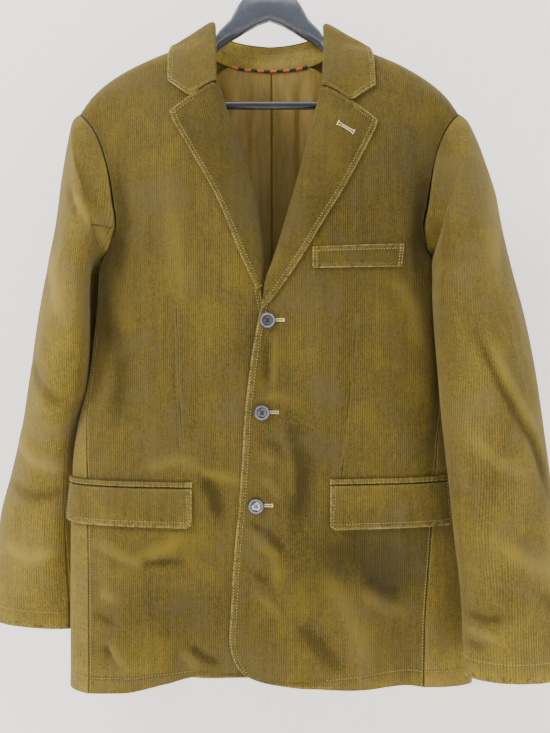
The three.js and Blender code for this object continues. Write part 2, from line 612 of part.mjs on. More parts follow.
// Side panels: from the front seam round to the back one, up to the armhole
const SIDE_TURNS = [0, ...ARMPIT_TURNS, SIDE_BACK_TURN];
function sideGrid(side) {
  const rows = SEAM_ROWS.length;
  const columns = SIDE_TURNS.length - 1;
  const share = (j) => (j === 0 ? 0 : (SIDE_TURNS[j] - SIDE_FRONT_AT_ARMHOLE)
    / (SIDE_BACK_TURN - SIDE_FRONT_AT_ARMHOLE));
  const frontZ = [...seamHeights(side, sideFrontTurn[side], -1), ARMPIT_FRONT_Z];
  const backZ = [...seamHeights(side, () => SIDE_BACK_TURN, 1), ARMPIT_BACK_Z];
  const grid = evenly(rows).map((_, i) => SIDE_TURNS.map((__, j) => {
    const turn = lerp(sideFrontTurn[side](frontZ[i]), SIDE_BACK_TURN, share(j));
    const z = i < rows ? lerp(frontZ[i], backZ[i], j / columns) : armholeHeight(turn);
    return bodyAtTurn(side, turn, z);
  }));
  return trim(grid, { top: SEAM, first: SEAM, last: SEAM });
}

// Sleeves: rings from the armhole to the cuff
function armholeRing(side) {
  const front = [...ARMHOLE_ROWS].reverse().map((z) => bodyAtTurn(side, armholeTurn(z), z));
  const frontLow = bodyAtTurn(side, SIDE_FRONT_AT_ARMHOLE, ARMPIT_FRONT_Z);
  const low = ARMPIT_TURNS.map((turn) => bodyAtTurn(side, turn, armholeHeight(turn)));
  const backLow = bodyAtTurn(side, SIDE_BACK_TURN, ARMPIT_BACK_Z);
  const back = ARMHOLE_ROWS.slice(0, -1).map((z) => bodyAtTurn(side, 180 - armholeTurn(z), z));
  return [...front, frontLow, ...low, backLow, ...back];
}

function sleeveRelief(side, ring, place) {
  return SLEEVE_FOLDS[side].reduce((sum, fold) => {
    const off = (place - fold.place) / fold.places;
    const along = (ring - fold.ring - fold.slant * (place - fold.place)) / fold.rings;
    return sum + fold.height * Math.exp(-off * off - along * along);
  }, 0);
}

function sleeveGrid(side) {
  const sign = sideSign(side);
  const table = side === 'left' ? SLEEVE_LEFT : SLEEVE_RIGHT;
  const hole = armholeRing(side);
  const middleZ = (SHOULDER_POINT_Z + ARMHOLE_BOTTOM) / 2;
  const reachZ = (SHOULDER_POINT_Z - ARMHOLE_BOTTOM) / 2;
  const reachY = Math.max(...hole.map(({ point }) => Math.abs(point.y - bodyMiddle(middleZ))));
  const angles = hole.map(({ point }) => Math.atan2(
    (point.y - bodyMiddle(middleZ)) / reachY,
    (point.z - middleZ) / reachZ,
  ));
  const rings = table.map((row, i) => angles.map((angle) => {
    const across = Math.cos(angle);
    const x = lerp(row.inner[0], row.outer[0], (1 + across) / 2);
    const z = lerp(row.inner[1], row.outer[1], (1 + across) / 2);
    const lean = SLEEVE_LEAN * smooth((i + 1) / 3) * row.depth * Math.sin(angle);
    return vec(sign * (x + lean), row.middle + row.depth * Math.sin(angle), z);
  }));
  const grid = withNormals([hole.map(({ point }) => point.clone()), ...rings], true);
  const outward = grid[2][0].normal.x * sign < 0 ? -1 : 1;
  grid.forEach((row, i) => row.forEach((at, j) => {
    at.normal.multiplyScalar(outward);
    const fade = smooth(i / 1.5) * smooth((grid.length - i) / 2);
    at.point.addScaledVector(at.normal, sleeveRelief(side, i, j) * fade);
  }));
  grid[0].forEach((at, j) => {
    const shared = hole[j].normal.dot(at.normal);
    if (shared > 0) at.normal.addScaledVector(hole[j].normal, shared).normalize();
  });
  return trim(grid, { bottom: SEAM });
}

function sleevePieces(side) {
  const full = sleeveGrid(side);
  const columns = full[0].length;
  const cut = (from, to) => full.map((row) => {
    const out = [];
    for (let j = from; j <= to; j += 1) {
      const at = row[j % columns];
      out.push({ point: at.point.clone(), normal: at.normal.clone() });
    }
    return out;
  });
  const under = trim(cut(SLEEVE_FRONT_SEAM[side], SLEEVE_HIND_SEAM), { first: SEAM, last: SEAM });
  const top = trim(cut(SLEEVE_HIND_SEAM, columns + SLEEVE_FRONT_SEAM[side]), { first: SEAM, last: SEAM });
  add(`sleeve_${side}_top`, wall(top, 0, -CLOTH), 'corduroy');
  add(`sleeve_${side}_under`, wall(under, 0, -CLOTH), 'corduroy');
}

// Lapels: the facing comes from inside, turns round the roll line and lies on the front.
// The section is drawn as the way out from the roll line and the height over the front
const LAPEL_REST = 0.8;
function lapelSection(width, rise) {
  const hug = CLOTH / 2 + LAPEL_REST;
  const bend = [-90, -45, 0, 45, 90].map((turn) => ({
    out: -hug * Math.cos(rad(turn)),
    high: -CLOTH / 2 + hug * Math.sin(rad(turn)),
    way: [-Math.cos(rad(turn)), Math.sin(rad(turn))],
  }));
  const inside = { out: LAPEL_INSIDE, high: -CLOTH - LAPEL_REST - 0.6, way: [0, -1] };
  const flat = [0.16, 0.34, 0.55, 0.78, 1].map((t) => ({
    out: width * t,
    high: LAPEL_REST + rise * Math.sin(Math.PI * t ** 0.7) ** 0.8 + 0.3 * t,
    way: [0, 1],
  }));
  return [inside, ...bend, ...flat];
}

function frontEdgeX(side, z) {
  const i = FRONT_ROWS.findIndex((row, k) => k > 4 && row[side][1] >= z);
  const [x0, z0] = FRONT_ROWS[i - 1][side];
  const [x1, z1] = FRONT_ROWS[i][side];
  return lerp(x0, x1, (z - z0) / (z1 - z0));
}

function lapelGrid(side) {
  const table = side === 'left' ? LAPEL_LEFT : LAPEL_RIGHT;
  const rows = table.map((row, i) => ({ ...row, t: i / (table.length - 1) }));
  const get = (pick) => tableCurve(rows, 't', pick);
  const rollZ = get('roll');
  const edgeX = get((row) => row.edge[0]);
  const edgeZ = get((row) => row.edge[1]);
  const rise = get('rise');
  return evenly(table.length - 1).map((t) => {
    const z0 = rollZ(t);
    const roll = [frontEdgeX(side, z0), z0];
    const way = [edgeX(t) - roll[0], edgeZ(t) - roll[1]];
    const width = Math.hypot(...way);
    const unit = [way[0] / width, way[1] / width];
    const inward = Math.min(LAPEL_INSIDE, width);
    return lapelSection(width, rise(t)).map((step, k) => {
      const out = k === 0 ? inward : step.out;
      const share = clamp(out / width, 0, 1);
      const tent = Math.min(share / LAPEL_BEND.at, (1 - share) / (1 - LAPEL_BEND.at));
      const bend = LAPEL_BEND.height * tent * clamp(1 - (1 - t) / LAPEL_BEND.reach, 0, 1);
      const x = roll[0] + unit[0] * out;
      const z = roll[1] + unit[1] * out + bend;
      const at = frontSurface(x, z, side);
      const normal = vec(unit[0] * step.way[0], 0, unit[1] * step.way[0])
        .addScaledVector(at.normal, step.way[1]).normalize();
      return { point: at.point.addScaledVector(at.normal, step.high), normal };
    });
  });
}

// Collar: the fall runs from the fold to its outer edge, the stand from the neck to the fold
const collarCurve = (pick) => tableCurve(COLLAR, 's', pick);
const foldX = collarCurve((row) => row.fold[0]);
const foldY = collarCurve((row) => row.fold[1]);
const foldZ = collarCurve((row) => row.fold[2]);
const edgeRows = COLLAR.map((row) => {
  const at = body(row.edge[0], row.edge[1], row.face);
  const point = at.point.addScaledVector(at.normal, EDGE_LIFT);
  return { s: row.s, x: point.x, y: point.y, z: point.z };
});
const edgeX = tableCurve(edgeRows, 's', 'x');
const edgeY = tableCurve(edgeRows, 's', 'y');
const edgeZ = tableCurve(edgeRows, 's', 'z');

function collarFrame(s) {
  const step = 0.01;
  const fold = vec(foldX(s), foldY(s), foldZ(s));
  const lo = clamp(s - step, -1, 1);
  const hi = clamp(s + step, -1, 1);
  const tangent = vec(foldX(hi) - foldX(lo), foldY(hi) - foldY(lo), foldZ(hi) - foldZ(lo)).normalize();
  const edge = vec(edgeX(s), edgeY(s), edgeZ(s));
  const around = vec(fold.x, fold.y + 20, 0).normalize();
  const out = around.addScaledVector(tangent, -around.dot(tangent)).normalize();
  const over = vec().crossVectors(tangent, out).normalize();
  return { fold, edge, out, over };
}

function hermite(a, slopeA, b, slopeB, t) {
  const t2 = t * t;
  const t3 = t2 * t;
  return a.clone().multiplyScalar(2 * t3 - 3 * t2 + 1)
    .addScaledVector(slopeA, t3 - 2 * t2 + t)
    .addScaledVector(b, 3 * t2 - 2 * t3)
    .addScaledVector(slopeB, t3 - t2);
}

// Pushes a point of the collar off the shoulders where it comes too close
function clearOfBody(point) {
  const face = point.y < bodyMiddle(point.z) ? -1 : 1;
  const top = shoulderHeight(Math.abs(point.x));
  if (point.z > top) {
    point.z = Math.max(point.z, top + COLLAR_AIR);
    return point;
  }
  const { point: on, normal } = body(point.x, point.z, face);
  const high = point.clone().sub(on).dot(normal);
  return high < COLLAR_AIR ? point.addScaledVector(normal, COLLAR_AIR - high) : point;
}

function fallPoint(s, w) {
  const { fold, edge, out, over } = collarFrame(s);
  const start = fold.clone().addScaledVector(out, -FOLD_GAP);
  const way = edge.clone().sub(fold);
  const point = hermite(start, over.clone().multiplyScalar(FOLD_PULL), edge, way, w);
  const tent = w < NOTCH.along ? (w / NOTCH.along) ** 2 : (1 - w) / (1 - NOTCH.along);
  const end = clamp(1 - (1 - Math.abs(s)) / NOTCH.reach, 0, 1) ** 2;
  point.add(vec(...NOTCH.drop).multiplyScalar(tent * end));
  return w > 0.25 ? clearOfBody(point) : point;
}

function neckPoint(s) {
  const { fold } = collarFrame(s);
  if (fold.y < bodyMiddle(fold.z)) {
    const x = Math.sign(fold.x) * lerp(NECK_POINT.x, Math.abs(fold.x) + 2, smooth((-18 - fold.y) / 40));
    const z = lerp(NECK_POINT.z, foldZ(s) - 4, smooth((-18 - fold.y) / 45));
    return body(x, Math.min(z, shoulderHeight(Math.abs(x)) - 0.5), -1).point;
  }
  const x = clamp(fold.x * (NECK_POINT.x / Math.abs(COLLAR[4].fold[0])), -NECK_POINT.x, NECK_POINT.x);
  return body(x, backNeckHeight(Math.abs(x)), 1).point;
}

function standPoint(s, w) {
  const { fold, out, over } = collarFrame(s);
  const top = fold.clone().addScaledVector(out, -FOLD_GAP).addScaledVector(over, -4 * SEAM);
  const foot = neckPoint(s).addScaledVector(out, -0.6);
  foot.z += 2 * SEAM;
  const rise = top.clone().sub(foot);
  return hermite(foot, rise, top, over.clone().multiplyScalar(rise.length()), w);
}

function collarPieces() {
  const columns = evenly(COLLAR_COLUMNS).map((t) => t ** 1.5);
  const fall = withNormals(evenly(COLLAR_ROWS).map((t) => columns.map((w) => fallPoint(lerp(-1, 1, t), w))));
  add('collar_fall', wall(fall, COLLAR_CLOTH, 0), 'corduroy');
  const standEnd = STAND_ROWS / COLLAR_ROWS;
  const stand = withNormals(evenly(STAND_ROWS).map((t) => evenly(3)
    .map((w) => standPoint(lerp(-standEnd, standEnd, t), w))));
  add('collar_stand', wall(stand, COLLAR_CLOTH, 0), 'corduroy');
}

// Piping along the foot of the stand, inside the back neck
function piping() {
  const reach = 50;
  const height = 4;
  const grid = evenly(14).map((t) => {
    const x = lerp(-reach, reach, t);
    const z = backNeckHeight(Math.abs(x)) - 2.5;
    return [0, 1].map((k) => body(x, z - height * k, 1));
  });
  const back = -CLOTH - LINING_AIR.neck - LINING_CLOTH - 2.2;
  add('neck_piping', wall(grid, back, back - 1.6), 'piping');
}

// Back lining in two halves with a pleat down the middle
const LINING_EDGE = 104;
const LINING_PLEAT = 3;
const LINING_DROP = { neck: 18, shoulder: 36, from: 0.4 }; // below the shoulder seam
const LINING_FOLDS = [
  { x: -46, pitch: 13, height: 1.6 },
  { x: -22, pitch: 9, height: 1.2 },
  { x: 30, pitch: 12, height: 1.6 },
  { x: 58, pitch: 14, height: 1.4 },
];
function liningGrid(side) {
  const sign = sideSign(side);
  const columns = 7;
  return evenly(13).map((v) => evenly(columns).map((u) => {
    const x = lerp(LINING_PLEAT, sign * LINING_EDGE * lerp(1.6, 1, v), u ** 1.2) + (side === 'left' ? 0.4 : -0.4);
    const drop = lerp(LINING_DROP.neck, LINING_DROP.shoulder, smooth(Math.abs(x) / NECK_POINT.x - LINING_DROP.from));
    const top = Math.min(backNeckHeight(Math.abs(x)) - 1, shoulderHeight(Math.abs(x)) - drop);
    const at = body(x, lerp(hemHeight[1](x) + 28, top, v), 1);
    const folds = LINING_FOLDS.reduce((sum, fold) => sum
      + fold.height * Math.exp(-(((x - fold.x) / fold.pitch) ** 2)), 0);
    const pleat = side === 'left' ? 2.2 * Math.exp(-((x - LINING_PLEAT) / 9)) : 0;
    const sag = 1 - smooth((v - 0.9) / 0.1);
    const air = lerp(LINING_AIR.low, LINING_AIR.neck, smooth((v - LINING_AIR.from) / (1 - LINING_AIR.from)));
    at.point.addScaledVector(at.normal, -(folds + pleat) * sag - air);
    return at;
  }));
}

// Flap pockets and chest welt, made from the front's points and moved out
function onFront(side, x, z) {
  const limit = halfWidth(side, z) * 0.998;
  return frontSurface(clamp(x, -limit, limit), z, side);
}

function pocketPieces(side) {
  const { inner, outer, top, bottom, jet, air } = POCKETS[side];
  const columns = 13;
  const acrossX = (t) => lerp(inner, outer, Math.sin((Math.PI / 2) * t) ** 1.1 * 0.35 + t * 0.65);
  const corner = 9;
  const flap = evenly(5).map((v) => evenly(columns).map((u) => {
    const x = acrossX(u);
    const fromEnd = Math.min(Math.abs(x - inner), Math.abs(outer - x));
    const round = fromEnd < corner ? corner - Math.sqrt(corner ** 2 - (corner - fromEnd) ** 2) : 0;
    const at = onFront(side, x, lerp(top, bottom + round * 0.8, v));
    const hang = (FLAP_HANG + FLAP_WAVE * Math.sin(5 * u + v)) * v;
    at.point.addScaledVector(at.normal, hang);
    return at;
  }));
  add(`pocket_flap_${side}`, wall(flap, air + CLOTH, air), 'corduroy');
  const band = evenly(2).map((v) => evenly(columns).map((u) => {
    const at = onFront(side, acrossX(u), lerp(top + 0.6, top + jet, v));
    at.point.addScaledVector(at.normal, 0.7 * Math.sin(u * 23) ** 2);
    return at;
  }));
  add(`pocket_jet_${side}`, wall(band, air + JET_THICKNESS, air), 'corduroy');
}

function welt() {
  const grid = evenly(2).map((v) => evenly(7).map((u) => {
    const x = lerp(WELT.inner, WELT.outer - 3 * v, u);
    const z = lerp(lerp(WELT.topInner, WELT.bottomInner, v), lerp(WELT.topOuter, WELT.bottomOuter, v), u);
    return frontSurface(x, z, 'left');
  }));
  return wall(grid, REST + WELT_THICKNESS, REST);
}

// Manifold solid of a closed geometry, and back
function toManifold(geometry) {
  const bare = geometry.clone();
  bare.deleteAttribute('normal');
  bare.deleteAttribute('uv');
  const merged = mergeVertices(bare, 1e-4);
  return new wasm.Manifold(new wasm.Mesh({
    numProp: 3,
    vertProperties: new Float32Array(merged.attributes.position.array),
    triVerts: new Uint32Array(merged.index.array),
  }));
}

function fromManifold(solid) {
  const { vertProperties, triVerts } = solid.getMesh();
  const geometry = new THREE.BufferGeometry();
  geometry.setAttribute('position', new THREE.BufferAttribute(new Float32Array(vertProperties), 3));
  geometry.setIndex([...triVerts]);
  geometry.computeVertexNormals();
  return geometry;
}

// Buttons: a dished disc with a rim and four holes, its back on the left front
function buttonGeometry() {
  const r = BUTTON_DIAMETER / 2;
  const h = BUTTON_THICKNESS;
  const profile = [[0, 0], [r * 0.72, 0], [r, h * 0.35], [r, h * 0.7], [r * 0.9, h], [r * 0.76, h],
    [r * 0.6, h * 0.62], [0, h * 0.55]].map(([x, y]) => new THREE.Vector2(x, y));
  const disc = new THREE.LatheGeometry(profile, 24);
  let solid = toManifold(disc);
  const place = 2.2;
  [[1, 1], [1, -1], [-1, 1], [-1, -1]].forEach(([i, j]) => {
    const hole = new THREE.CylinderGeometry(BUTTON_HOLE / 2, BUTTON_HOLE / 2, 3 * h, 8);
    hole.translate(i * place, 0, j * place);
    solid = solid.subtract(toManifold(hole));
  });
  return fromManifold(solid);
}

function buttonPieces() {
  const geometry = buttonGeometry();
  BUTTONS.forEach(({ x, z }, i) => {
    const at = frontSurface(x, z, 'left');
    const mesh = add(`button_${i + 1}`, geometry.clone(), 'horn');
    mesh.quaternion.setFromUnitVectors(vec(0, 1, 0), at.normal);
    mesh.position.copy(at.point).addScaledVector(at.normal, REST);
  });
}

// Hanger: one moulded body of rounded sections, a round-edged trouser bar and a wire hook
function hangerBody() {
  const mirrored = HANGER.slice(1).reverse().map((row) => ({ ...row, x: -row.x }));
  const rows = [...mirrored, ...HANGER];
  const corners = [[-1, -0.6], [-0.6, -1], [0.6, -1], [1, -0.6], [1, 0.6], [0.6, 1], [-0.6, 1], [-1, 0.6]];
  const positions = rows.flatMap((row) => corners.flatMap(([a, b]) => [
    row.x,
    lerp(row.front, row.back, (a + 1) / 2),
    lerp(row.bottom, row.top, (b + 1) / 2),
  ]));
  const n = corners.length;
  const index = [];
  for (let i = 0; i < rows.length - 1; i += 1) {
    for (let k = 0; k < n; k += 1) {
      const a = i * n + k;
      const b = i * n + ((k + 1) % n);
      index.push(a, b, b + n, a, b + n, a + n);
    }
  }
  const last = (rows.length - 1) * n;
  for (let k = 1; k < n - 1; k += 1) {
    index.push(0, k + 1, k);
    index.push(last, last + k, last + k + 1);
  }
  const geometry = new THREE.BufferGeometry();
  geometry.setAttribute('position', new THREE.Float32BufferAttribute(positions, 3));
  geometry.setIndex(index);
  geometry.computeVertexNormals();
  return geometry;
}

function sectionShape(width, height, sides) {
  const shape = new THREE.Shape();
  evenly(sides).slice(0, -1).forEach((t, i) => {
    const x = (width / 2) * Math.cos(2 * Math.PI * t);
    const y = (height / 2) * Math.sin(2 * Math.PI * t);
    if (i === 0) shape.moveTo(x, y);
    else shape.lineTo(x, y);
  });
  shape.closePath();
  return shape;
}

function hangerBar() {
  const { z, straight, rise, top, y } = BAR;
  const path = new THREE.CatmullRomCurve3([
    vec(-rise, y, top), vec(-rise + 5, y, z + 3), vec(-straight, y, z), vec(-80, y, z), vec(0, y, z),
    vec(80, y, z), vec(straight, y, z), vec(rise - 5, y, z + 3), vec(rise, y, top),
  ], false, 'centripetal');
  return new THREE.ExtrudeGeometry(sectionShape(BAR.depth, BAR_HEIGHT, 8), { steps: 18, extrudePath: path });
}

const HOOK_RADIUS = 22;
function hangerHook() {
  const wire = HOOK_WIRE / 2;
  const centre = wire - HOOK_RADIUS;
  const arc = [-50, -20, 15, 50, 90, 130, 165, 195, 212].map((turn) => vec(
    HOOK_RADIUS * Math.cos(rad(turn)), 0, centre + HOOK_RADIUS * Math.sin(rad(turn)),
  ));
  const path = new THREE.CatmullRomCurve3([
    vec(0, 0, HANGER[0].top + 0.3), vec(0, 0, -72), vec(0, 0, -56), vec(4, 0, -44), ...arc,
  ], false, 'centripetal');
  return new THREE.ExtrudeGeometry(sectionShape(HOOK_WIRE, HOOK_WIRE, 8), { steps: 24, extrudePath: path });
}

['right', 'left'].forEach((side) => {
  add(`front_${side}`, wall(frontGrid(side), 0, -CLOTH), 'corduroy');
  add(`back_${side}`, wall(backGrid(side), 0, -CLOTH), 'corduroy');
  add(`side_${side}`, wall(sideGrid(side), 0, -CLOTH), 'corduroy');
  sleevePieces(side);
  add(`lapel_${side}`, wall(lapelGrid(side), CLOTH, 0), 'corduroy');
  add(`lining_${side}`, wall(liningGrid(side), -CLOTH, -CLOTH - LINING_CLOTH), 'lining');
  pocketPieces(side);
});
collarPieces();
piping();
add('chest_welt', welt(), 'corduroy');
buttonPieces();
add('hanger_body', hangerBody(), 'plastic');
add('hanger_bar', hangerBar(), 'plastic');
add('hanger_hook', hangerHook(), 'steel');

export default group;
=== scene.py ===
"""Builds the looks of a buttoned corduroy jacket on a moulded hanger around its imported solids.

Metres, +Z up, the jacket's front faces -Y. Each cloth piece takes its form from its own solid,
as rows and columns of points that smooth curves run through.
"""

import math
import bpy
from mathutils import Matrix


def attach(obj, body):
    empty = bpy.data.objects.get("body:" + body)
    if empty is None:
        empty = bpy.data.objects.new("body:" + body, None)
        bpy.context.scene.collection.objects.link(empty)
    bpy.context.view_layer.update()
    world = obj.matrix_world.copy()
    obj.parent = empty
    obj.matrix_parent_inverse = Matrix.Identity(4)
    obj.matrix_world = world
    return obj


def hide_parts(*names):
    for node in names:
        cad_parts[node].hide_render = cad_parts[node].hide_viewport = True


bl_info = {
    "name": "Corduroy Jacket on a Hanger",
    "version": (1, 0, 0),
    "blender": (4, 5, 0),
    "location": "3D View > Sidebar > Jacket",
    "description": "Builds a buttoned corduroy jacket that hangs on a moulded hanger",
    "category": "Add Mesh",
}

from collections import namedtuple

import bmesh
import bpy
import numpy as np
from mathutils import Matrix, Vector

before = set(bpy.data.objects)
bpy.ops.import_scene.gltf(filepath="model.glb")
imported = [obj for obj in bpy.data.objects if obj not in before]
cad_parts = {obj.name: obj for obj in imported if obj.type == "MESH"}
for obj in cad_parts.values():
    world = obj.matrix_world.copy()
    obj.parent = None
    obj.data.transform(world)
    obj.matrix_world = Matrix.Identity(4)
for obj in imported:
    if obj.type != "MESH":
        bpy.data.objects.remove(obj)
BODY = "root"
MM = 0.001
MERGE = 2e-6
RIM_TOLERANCE = 3e-5
TINY = 1e-12
# Distance in metres that stands for no border near
NO_BORDER = 0.05

# Camera: place, and lens for a 36 mm sensor on the picture's long side
CAMERA_AT = (0.0071, -0.94, -0.569)
LENS = 35.68

AXES = {
    "+x": (1, 0, 0), "-x": (-1, 0, 0), "+y": (0, 1, 0), "-y": (0, -1, 0), "+z": (0, 0, 1), "-z": (0, 0, -1),
}

# Each cloth node: rows and columns of its grid, wall in mm, way from the first row to the last and
# from the first column to the last, side that shows, kind of each border in the order first row,
# last row, first column, last column, spacing of the fine grid in mm, way the wales run, and the
# size and area of its flat cut in metres. Borders: e is a finished edge, s is a seam, n is neither.
Sheet = namedtuple("Sheet", "rows columns wall up across face borders step grain flat area")
BORDERS = ("first_row", "last_row", "first_column", "last_column")
SHEETS = {
    "front_left": Sheet(26, 12, 2.2, "+z", "+x", "-y", "eses", 3.2, "body", (0.27, 0.80), 0.163),
    "front_right": Sheet(26, 12, 2.2, "+z", "-x", "-y", "eses", 3.2, "body", (0.28, 0.80), 0.168),
    "back_left": Sheet(26, 11, 2.2, "+z", "+x", "+y", "esss", 3.6, "body", (0.27, 0.81), 0.176),
    "back_right": Sheet(26, 11, 2.2, "+z", "-x", "+y", "esss", 3.6, "body", (0.27, 0.81), 0.178),
    "side_left": Sheet(17, 7, 2.2, "+z", "+y", "+x", "esss", 3.6, "row", (0.12, 0.55), 0.048),
    "side_right": Sheet(17, 7, 2.2, "+z", "+y", "-x", "esss", 3.6, "row", (0.11, 0.55), 0.041),
    "sleeve_left_top": Sheet(14, 20, 2.2, "-z", "-y", "+x", "sesn", 3.6, "row", (0.31, 0.69), 0.176),
    "sleeve_left_under": Sheet(14, 6, 2.2, "-z", "+y", "-x", "sens", 3.6, "row", (0.11, 0.52), 0.039),
    "sleeve_right_top": Sheet(15, 16, 2.2, "-z", "-y", "-x", "sesn", 3.6, "row", (0.25, 0.69), 0.142),
    "sleeve_right_under": Sheet(15, 10, 2.2, "-z", "+y", "+x", "sens", 3.6, "row", (0.17, 0.54), 0.069),
    "lapel_left": Sheet(9, 11, 2.2, "+z", "+x", "-y", "eene", 2.4, "edge", (0.11, 0.28), 0.0165),
    "lapel_right": Sheet(9, 11, 2.2, "+z", "-x", "-y", "eene", 2.4, "edge", (0.10, 0.27), 0.0145),
    "collar_fall": Sheet(27, 8, 2.4, "+x", "-z", "+z", "eene", 2.4, "rib", (0.60, 0.075), 0.0305),
    "collar_stand": Sheet(17, 4, 2.4, "+x", "+z", "-y", "nnsn", 2.4, "rib", (0.30, 0.036), 0.0083),
    "pocket_flap_left": Sheet(6, 14, 2.2, "-z", "+x", "-y", "seee", 2.0, "body", (0.160, 0.056), 0.0085),
    "pocket_flap_right": Sheet(6, 14, 2.2, "-z", "-x", "-y", "seee", 2.0, "body", (0.170, 0.053), 0.0088),
    "pocket_jet_left": Sheet(3, 14, 1.8, "+z", "+x", "-y", "ssee", 1.4, "body", (0.160, 0.0105), 0.00145),
    "pocket_jet_right": Sheet(3, 14, 1.8, "+z", "-x", "-y", "ssee", 1.4, "body", (0.180, 0.0105), 0.00163),
    "chest_welt": Sheet(3, 8, 2.6, "-z", "+x", "-y", "eeee", 1.8, "body", (0.112, 0.027), 0.00295),
    "lining_left": Sheet(14, 8, 1.0, "+z", "+x", "-y", "nnnn", 4.0, "row", (0.16, 0.76), 0.099),
    "lining_right": Sheet(14, 8, 1.0, "+z", "-x", "-y", "nnnn", 4.0, "row", (0.16, 0.76), 0.103),
    "neck_piping": Sheet(15, 2, 1.6, "+x", "-z", "-y", "nnnn", 0.8, "row", (0.102, 0.0105), 0.00056),
}
# Rows of points beside a finished edge and beside a seam, distances in mm from it
DENSE_EDGE = (0.25, 0.7, 1.3, 2.1, 3.6, 5.2, 6.4, 7.6, 9.5)
DENSE_SEAM = (0.3, 0.9, 1.8, 3.0)
# In mm: rounding of edges, the two rows of stitches from an edge, depth of hem and cuffs
EDGE_ROUND = 1.1
STITCH_NEAR = 1.9
STITCH_FAR = 6.8
STITCH_HALF_WIDTH = 0.46
STITCH_SHARE = 0.76
HEM_DEPTH = 19.0
CUFF_DEPTH = 22.0
PUCKER_PITCH = 0.0095
HEM_RIPPLE_PITCH = 0.031

# Half widths of the body in mm at its heights, on the wearer's right and left
BODY_WIDTH = (
    (-985, 250, 256), (-860, 250, 250), (-770, 250, 241), (-707, 248, 232), (-666, 245, 226), (-628, 236, 219),
    (-589, 223, 211), (-540, 214, 204.5), (-484, 208, 202), (-433, 206, 201), (-390, 210, 211), (-347, 214, 217),
    (-308, 224, 226), (-274, 241, 242), (-250, 262, 262), (-150, 262, 262),
)
# The body's section: a superellipse with this power, and its depth as a share of its half width
BODY_ROUNDNESS = 2.6
BODY_DEPTH_SHARE = 0.3

# How much higher the creases are made than they are listed
CREASE_GAIN = 1.5
# Creases on what faces the front: line of x and height in mm, half width and height in mm
FRONT_CREASES = (
    (((-209, -782), (-176, -795), (-144, -807)), 6, 2.2),
    (((-205, -840), (-180, -850)), 6, 1.4),
    (((-212, -868), (-186, -880)), 5, -1.3),
    (((-150, -794), (-120, -783), (-97, -765)), 8, 2.0),
    (((-158, -806), (-120, -801), (-98, -802)), 5, -1.6),
    (((-190, -901), (-181, -916), (-172, -928)), 4.5, 2.6),
    (((-200, -905), (-190, -920)), 4.5, -1.8),
    (((-104, -908), (-92, -920), (-84, -930)), 4.5, 2.8),
    (((-96, -902), (-80, -914), (-60, -922)), 5, -2.2),
    (((-80, -697), (-66, -720), (-58, -750)), 8, -2.6),
    (((-90, -690), (-50, -700), (-28, -706)), 6, 1.6),
    (((-200, -500), (-178, -560), (-182, -640)), 12, -1.4),
    (((-150, -690), (-110, -680), (-84, -684)), 7, 1.5),
    (((-24, -752), (0, -768), (20, -790)), 5, -1.7),
    (((-20, -764), (6, -792), (14, -830)), 6, 1.8),
    (((-18, -836), (0, -848), (16, -868)), 5, 1.4),
    (((-20, -812), (0, -824)), 4, -1.2),
    (((7, -525), (7, -560), (6, -604)), 4.5, 1.7),
    (((-2, -535), (-3, -590)), 5, -1.3),
    (((-6, -606), (14, -603), (26, -610)), 5, 1.5),
    (((24, -625), (40, -690), (34, -760)), 11, -1.7),
    (((-10, -655), (10, -663), (22, -680)), 5, -1.2),
    (((-12, -672), (8, -682)), 4.5, 1.2),
    (((-10, -700), (6, -712), (16, -730)), 5, 1.4),
    (((18, -650), (26, -690), (30, -730)), 5, 1.1),
    (((112, -815), (138, -835), (160, -840)), 9, -1.6),
    (((104, -830), (140, -856), (170, -862)), 8, 1.5),
    (((60, -800), (100, -870), (120, -930)), 12, 1.6),
    (((30, -870), (60, -900), (90, -935)), 10, -1.5),
    (((190, -330), (180, -420), (186, -470)), 11, -2.0),
    (((150, -460), (176, -500), (188, -560)), 9, 1.3),
    (((-190, -330), (-176, -400), (-184, -470)), 11, -1.6),
    (((-120, -330), (-112, -420), (-96, -500)), 14, 1.2),
)
